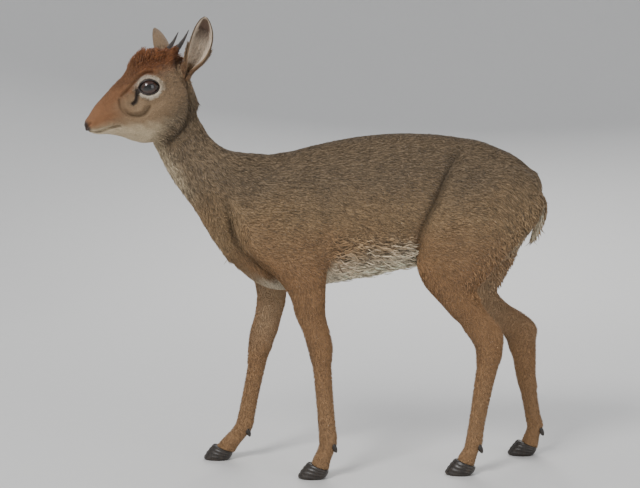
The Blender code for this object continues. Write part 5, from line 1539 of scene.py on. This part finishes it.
def hair_patch(hues, name, where, spacing, direction, length, width, lift, curl, loose, spread, seed,
               tint=None):
    """One patch of longer hair: where gives the share of the full length, with no hair where it is under a
    tenth. Direction is a vector, or a function of roots, and so is tint, which changes the coat's colour."""
    draw = np.random.default_rng(seed)
    points, normals, triangles = skin_data()
    share = where(points, normals)
    kept = triangles[share[triangles].min(axis=1) > 0.1]
    roots, facing = scatter(points, normals, kept, np.full(len(points), spacing), draw)
    share = where(roots, facing)
    way = direction(roots, facing) if callable(direction) else direction
    lie = laid(unit(np.asarray(way, float)), facing, draw, loose)
    colours = coat_colour(roots, facing, hues)
    if tint is not None:
        colours = tint(roots, colours, hues)
    long = length * np.clip(share, 0.1, 1) * draw.uniform(0.7, 1.15, len(roots))
    angle = np.radians(np.clip(draw.normal(lift, 5, len(roots)), 2, 80))
    angle = cleared(roots, facing, lie, long, angle)
    wide = width * (0.5 + 0.5 * np.clip(share, 0, 1))
    waviness = draw.normal(0, 0.4 * curl, len(roots)) + curl
    sections = 4 if length > LONG_TUFT else 3
    add_coat(name, roots, facing, lie, long, wide, angle, waviness, sections, flat_map(roots), colours,
             np.full(len(roots), spread))


def crown_where(points, normals):
    """The crest from the brow back between the horns, with a low lead up the nose, clear of each horn."""
    x, y, z = to_head(points).T
    head = regions(points)[0]
    horn, _ = near_path(near_side(to_head(points)), [p[:3] for p in HORN_STUB[1:]], 12)
    full = head * (0.16 * ramp(x, -98, -72) + 0.84 * ramp(x, -60, -12)) * ramp(x, 13, 5)
    full = full * (1 - 0.75 * ramp(x, -12, -3) * ramp(np.abs(y), 6, 11))
    return full * ramp(np.abs(y), 19, 11) * ramp(z, 12, 24) * (0.15 + 0.85 * ramp(horn, 7.0, 11.5))


def crown_way(roots, facing):
    """Back along the head, and a little in towards the middle line."""
    local = to_head(roots)
    return np.stack([np.ones(len(roots)), -0.02 * local[:, 1], 0.35 * np.ones(len(roots))], 1) @ HEAD_TURN.T


def ear_base_where(points, normals):
    """Round the foot of each ear, on the head."""
    local = near_side(to_head(points))
    away, _ = near_path(local, [p[:3] for p in EAR_STUB], 12)
    return regions(points)[0] * ramp(away, 14, 10)


def ear_base_way(roots, facing):
    """Up along the ear."""
    sign = np.sign(to_head(roots)[:, 1])
    way = np.array(EAR_TIPS["left"]) - EAR_BASE
    return np.stack([way[0] + 0 * sign, way[1] * sign, way[2] + 0 * sign], 1) @ HEAD_TURN.T


def nape_where(points, normals):
    """The back of the head below the crest."""
    x, y, z = to_head(points).T
    return 0.85 * regions(points)[0] * ramp(x, -8, 4) * ramp(z, -12, 26) * ramp(np.abs(y), 26, 18)


def belly_where(points, normals):
    """The belly's low edge, from the forelegs back to the thighs."""
    x, y, z = points.T
    low = ramp(z, 284, 256) * ramp(z, 195, 205) * ramp(-normals[:, 2], -0.35, 0.15)
    return low * ramp(x, 0, 16) * ramp(x, 128, 104) * (1 - ramp(x, 90, 100) * ramp(np.abs(y), 14, 24))


def rump_where(points, normals):
    """The rear of the rump and thighs, round the tail."""
    x, _, z = points.T
    behind = (1 - regions(points)[2]) * ramp(x, 150, 175)
    return behind * ramp(z, 186, 216) * ramp(z, 348, 286) * ramp(normals[:, 0], 0.05, 0.5)


def breech_where(points, normals):
    """A band along the rear edge of each thigh."""
    _, y, z = points.T
    share = np.zeros(len(points))
    for side, sign in SIDES.items():
        edge = [(rear - 7, 0, height) for height, _, rear, _, _ in THIGH[side] if 190 < height < 315]
        away, _ = near_path(points * (1, 0, 1), edge)
        share = np.maximum(share, ramp(away, 17, 8) * (y * sign > 6))
    return share * ramp(normals[:, 0], -0.5, 0.2) * ramp(z, 200, 226)


def chest_where(points, normals):
    """The front of the chest between the shoulders."""
    x, _, z = points.T
    return ramp(x, -70, -90) * ramp(z, 318, 296) * ramp(z, 240, 262) * ramp(-normals[:, 0], 0.1, 0.6)


def tail_where(points, normals):
    """The tail below its root."""
    return regions(points)[2] * ramp(points[:, 2], 262, 270) * ramp(points[:, 2], 326, 286)


def tail_way(roots, facing):
    """Down the tail and a little out to its sides."""
    return np.stack([np.full(len(roots), 0.05), 0.03 * roots[:, 1], -np.ones(len(roots))], 1)


def ring_where(points, normals):
    """A ring round each eye, just outside the bare lids."""
    local = to_head(points)
    share = np.zeros(len(points))
    for sign in SIDES.values():
        view, away, outside, _, _ = lid_places(local, sign)
        share = np.maximum(share, ramp(outside, 1.4, 2.2) * ramp(outside, 7.5, 5.0) * (view > 0) * (away < 27))
    return share * regions(points)[0]


def ring_way(roots, facing):
    """Outwards from the eye."""
    local = to_head(roots)
    ray = np.stack([local[:, 0] - EYE_CENTRE[0] + 3, 0 * local[:, 1], local[:, 2] - EYE_CENTRE[2]], 1)
    return ray @ HEAD_TURN.T


def tail_tint(roots, colours, hues):
    """White at the edges and the tip of the tail."""
    edge, tip = ramp(np.abs(roots[:, 1]), 5, 9) * ramp(roots[:, 2], 320, 300), ramp(roots[:, 2], 280, 265)
    return mixed(colours, hues["belly"], np.maximum(edge, tip) * 0.55)


# The patches of longer hair: name, where it is, spacing in mm, direction, the size that it takes and how many
# times that size its full length is (or mm, where no size is named), width, lift in degrees, curl,
# how loose it lies, how much its tone varies and how deep the painted shade at its roots is, the seed of its
# draws, and a tint.
LONG_HAIR = (
    ("crown", crown_where, 1.35, crown_way, "crown_hair", 1.75, 1.5, 62, 0.03, 0.3, 0.18, 21),
    ("nape", nape_where, 1.4, (0.75, 0, -0.45), "crown_hair", 0.42, 1.0, 15, 0.03, 0.2, 0.14, 22),
    ("belly", belly_where, 2.3, (0.97, 0, -0.16), "belly_hair", 1.3, 2.3, 19, 0.12, 0.1, 0.3, 23),
    ("rump", rump_where, 2.55, (0.42, 0, -0.9), "tail_hair", 0.9, 1.9, 32, 0.05, 0.22, 0.2, 24),
    ("breech", breech_where, 2.7, (0.5, 0, -0.86), "tail_hair", 0.85, 2.0, 34, 0.03, 0.24, 0.16, 29),
    ("chest", chest_where, 2.0, (0.15, 0, -1.0), "belly_hair", 0.6, 1.4, 16, 0.04, 0.1, 0.13, 25),
    ("tail", tail_where, 1.5, tail_way, "tail_hair", 0.8, 1.6, 18, 0.04, 0.16, 0.15, 26, tail_tint),
    ("ear_bases", ear_base_where, 1.4, ear_base_way, "crown_hair", 0.65, 1.2, 17, 0.05, 0.2, 0.2, 28),
    ("eye_rings", ring_where, 0.85, ring_way, None, 3.4, 0.55, 32, 0.03, 0.3, 0.12, 27),
)


class DIKDIK_OT_long_hair(bpy.types.Operator):
    """Adds the longer hair of the crown, nape, belly, chest, rump and tail, and the rough ring at the eyes"""
    bl_idname = "dikdik.long_hair"
    bl_label = "Long hair"

    def execute(self, context):
        hues, sizes = settings(context)
        for name, where, spacing, way, size, times, *looks in LONG_HAIR:
            length = times * (getattr(sizes, size) / MM) if size else times
            hair_patch(hues, "hair_" + name, where, spacing, way, length, *looks)
        return {"FINISHED"}


def ear_roots(side, count, inside, draw, low, high, reach, edge=1.0):
    """Roots on the outer or inner face of an ear, their facings, the ways to the tip and across, the share of
    the ear's length and the place across."""
    share = draw.uniform(low, high, count)
    across = draw.uniform(-1, 1, count)
    across = reach * np.sign(across) * np.abs(across) ** edge
    depth = inside * (2.0 - np.clip(share, 0, 1))
    steps = ((0, 0), (0.01, 0), (0, 0.02))
    root, ahead, beside = (ear_surface(side, share + a, across + b, depth) for a, b in steps)
    facing = unit(np.cross(ahead - root, beside - root))
    outward = ear_surface(side, share, across, depth - 0.5) - root
    facing = facing * np.sign(np.sum(facing * outward, axis=1) * (-1 if inside else 1))[:, None]
    return root, facing, unit(ahead - root), unit(beside - root), share, across


# Each kind of hair on an ear: name, count, inside, share of the length from and to, reach across, length,
# width, lift in degrees, how much it leans across, how loose it lies, and how it gathers at the edges.
EAR_HAIR = (
    ("back", 5200, False, -0.05, 0.97, 0.97, 3.4, 0.6, 12, 0.0, 0.15, 1.0),
    ("edge", 900, False, -0.08, 0.42, 0.99, 8.5, 0.9, 30, 0.3, 0.3, 0.2),
    ("inside", 2700, True, 0.02, 0.68, 0.94, 8.6, 0.7, 27, -0.75, 0.3, 1.0),
    ("lining", 1100, True, 0.3, 0.93, 0.85, 3.0, 0.5, 14, -0.2, 0.2, 1.0),
)


class DIKDIK_OT_ear_hair(bpy.types.Operator):
    """Covers the ears with short fur outside, and adds the long pale hair inside and at their front edge"""
    bl_idname = "dikdik.ear_hair"
    bl_label = "Ear hair"

    def execute(self, context):
        hues, _ = settings(context)
        for n, side in enumerate(SIDES):
            draw = np.random.default_rng(40 + n)
            for name, count, inside, low, high, reach, long, wide, lift, lean, loose, edge in EAR_HAIR:
                root, facing, ahead, beside, share, across = ear_roots(
                    side, count, inside, draw, low, high, reach, edge)
                lie = laid(ahead + beside * (lean * across)[:, None], facing, draw, loose)
                aside = np.abs(across)
                if inside:
                    coats = [("ear_hollow", 0.85 * ramp(share, 0.36, 0.68) * ramp(aside, 0.92, 0.55))]
                else:
                    coats = [("crown", 0.35 * ramp(share, 0.35, 0.0)),
                             ("spine", 0.5 * ramp(aside, 0.85, 0.97) * ramp(share, 0.3, 0.6))]
                colours = painted(hues["ear_inside" if inside else "ear_back"] + 0 * root, hues, *coats)
                up = 0.5 + 0.17 * n + 0.08 * inside + 0.07 * np.clip(share, 0, 1)
                places = np.stack([0.9 + 0.08 * (across + 1) / 2, up], 1)
                length = long * draw.uniform(0.6, 1.15, count) * (ramp(share, 1.02, 0.85) * 0.6 + 0.4)
                angle = np.radians(np.clip(draw.normal(lift, 5, count), 3, 50))
                add_coat(f"ear_{name}_{side}", from_head(root), facing @ HEAD_TURN.T, lie @ HEAD_TURN.T, length,
                         np.full(count, wide), angle, 0.05 * draw.normal(0, 1, count), 2, places, colours,
                         np.full(count, 0.12))
        return {"FINISHED"}


# The studio

# The camera looks at the target in the animal's own frame, at this angle from its left side, in degrees.
CAMERA_TARGET = np.array((0.0, 0.0, 261.6))
CAMERA_DISTANCE = 1426.0
CAMERA_AZIMUTH, CAMERA_ELEVATION = -4.0, 5.0
CAMERA_LENS, CAMERA_SENSOR = 69.75, 36.0
# The floor in metres: how far it is flat, the radius of its bend, the height of its wall, and its steps.
FLOOR_FLAT, FLOOR_BEND, FLOOR_WALL = 1.5, 2.2, 2.6
FLOOR_STEPS, FLOOR_ROUND = 24, 96
SKY_COLOUR, SKY_STRENGTH = (0.86, 0.9, 1.0, 1.0), 0.52
# Each lamp: name, place, edge and share of the light.
LAMPS = (
    ("key_lamp", (-1.3, -1.7, 2.1), 0.8, 1.0),
    ("fill_lamp", (1.7, -1.7, 1.1), 1.6, 0.25),
    ("rim_lamp", (0.5, 1.9, 1.6), 1.4, 0.6),
)


class DIKDIK_OT_studio(bpy.types.Operator):
    """Sets up the pale floor and backdrop, the soft lamps and the camera at the photograph's angle"""
    bl_idname = "dikdik.studio"
    bl_label = "Studio"

    def execute(self, context):
        hues, sizes = settings(context)
        scene = context.scene
        # The floor is a turned bowl: flat, then a quarter circle up to its rim, and a wall: height over radius.
        turn = np.linspace(0, np.pi / 2, FLOOR_STEPS)[1:]
        bend = FLOOR_FLAT + FLOOR_BEND * np.sin(turn)
        run = np.concatenate([[0.01, FLOOR_FLAT], bend, [FLOOR_FLAT + FLOOR_BEND]])[:, None]
        rise = np.concatenate([[0.0, 0.0], FLOOR_BEND * (1 - np.cos(turn)), [FLOOR_WALL]])[:, None]
        angle = circle(FLOOR_ROUND)
        grid = np.stack([run * np.cos(angle), run * np.sin(angle), rise + 0 * angle], -1)
        faces = [grid_faces(len(run), FLOOR_ROUND)[:, ::-1], np.arange(FLOOR_ROUND)[None]]
        mesh = new_mesh("floor", grid.reshape(-1, 3), faces)
        mesh.materials.append(floor_material(hues["floor"]))
        floor = new_object("floor", mesh)
        target = Vector(placed(CAMERA_TARGET))
        for name, place, size, share in LAMPS:
            lamp = bpy.data.lights.new(name, "AREA")
            lamp.size, lamp.energy = size, sizes.light * share
            stand = new_object(name, lamp)
            stand.visible_camera = False
            stand.location = place
            stand.rotation_mode = "QUATERNION"
            stand.rotation_quaternion = (target - Vector(place)).to_track_quat("-Z", "Y")
        world = bpy.data.worlds.new("studio")
        world.use_nodes = True
        sky = world.node_tree.nodes["Background"]
        set_node(world.node_tree, sky, {"Color": SKY_COLOUR, "Strength": SKY_STRENGTH})
        scene.world = world
        camera = new_object("camera", bpy.data.cameras.new("camera"))
        azimuth, elevation = math.radians(CAMERA_AZIMUTH), math.radians(CAMERA_ELEVATION)
        back = Vector((math.sin(azimuth) * math.cos(elevation), -math.cos(azimuth) * math.cos(elevation),
                       math.sin(elevation)))
        camera.data.lens, camera.data.sensor_width = CAMERA_LENS, CAMERA_SENSOR
        camera.location = target + back * CAMERA_DISTANCE * MM
        camera.rotation_mode = "QUATERNION"
        camera.rotation_quaternion = (-back).to_track_quat("-Z", "Y")
        scene.camera = camera
        return {"FINISHED"}


STEPS = (DIKDIK_OT_skin, DIKDIK_OT_ears, DIKDIK_OT_eyes, DIKDIK_OT_horns, DIKDIK_OT_hooves, DIKDIK_OT_coat,
         DIKDIK_OT_long_hair, DIKDIK_OT_ear_hair, DIKDIK_OT_studio)


class DIKDIK_PT_panel(bpy.types.Panel):
    """Lists the steps, sizes and colours of the animal"""
    bl_label = "Dik-dik"
    bl_idname = "DIKDIK_PT_panel"
    bl_space_type = "VIEW_3D"
    bl_region_type = "UI"
    bl_category = "Dik-dik"

    def draw(self, context):
        for step in STEPS:
            self.layout.operator(step.bl_idname)
        for group in (context.scene.dik_dik_sizes, context.scene.dik_dik_hues):
            column = self.layout.column(align=True)
            for key in type(group).__annotations__:
                column.prop(group, key)


CLASSES = (DikDikHues, DikDikSizes, *STEPS, DIKDIK_PT_panel)


def register():
    """Registers the settings, the operators and the panel, and adds the settings to the scene."""
    for cls in CLASSES:
        bpy.utils.register_class(cls)
    bpy.types.Scene.dik_dik_hues = bpy.props.PointerProperty(type=DikDikHues)
    bpy.types.Scene.dik_dik_sizes = bpy.props.PointerProperty(type=DikDikSizes)


def unregister():
    """Takes them away again."""
    del bpy.types.Scene.dik_dik_sizes
    del bpy.types.Scene.dik_dik_hues
    for cls in reversed(CLASSES):
        bpy.utils.unregister_class(cls)


def main():
    """Builds the whole animal and its studio."""
    register()
    for step in STEPS:
        group, name = step.bl_idname.split(".")
        getattr(getattr(bpy.ops, group), name)()


if __name__ == "__main__":
    main()
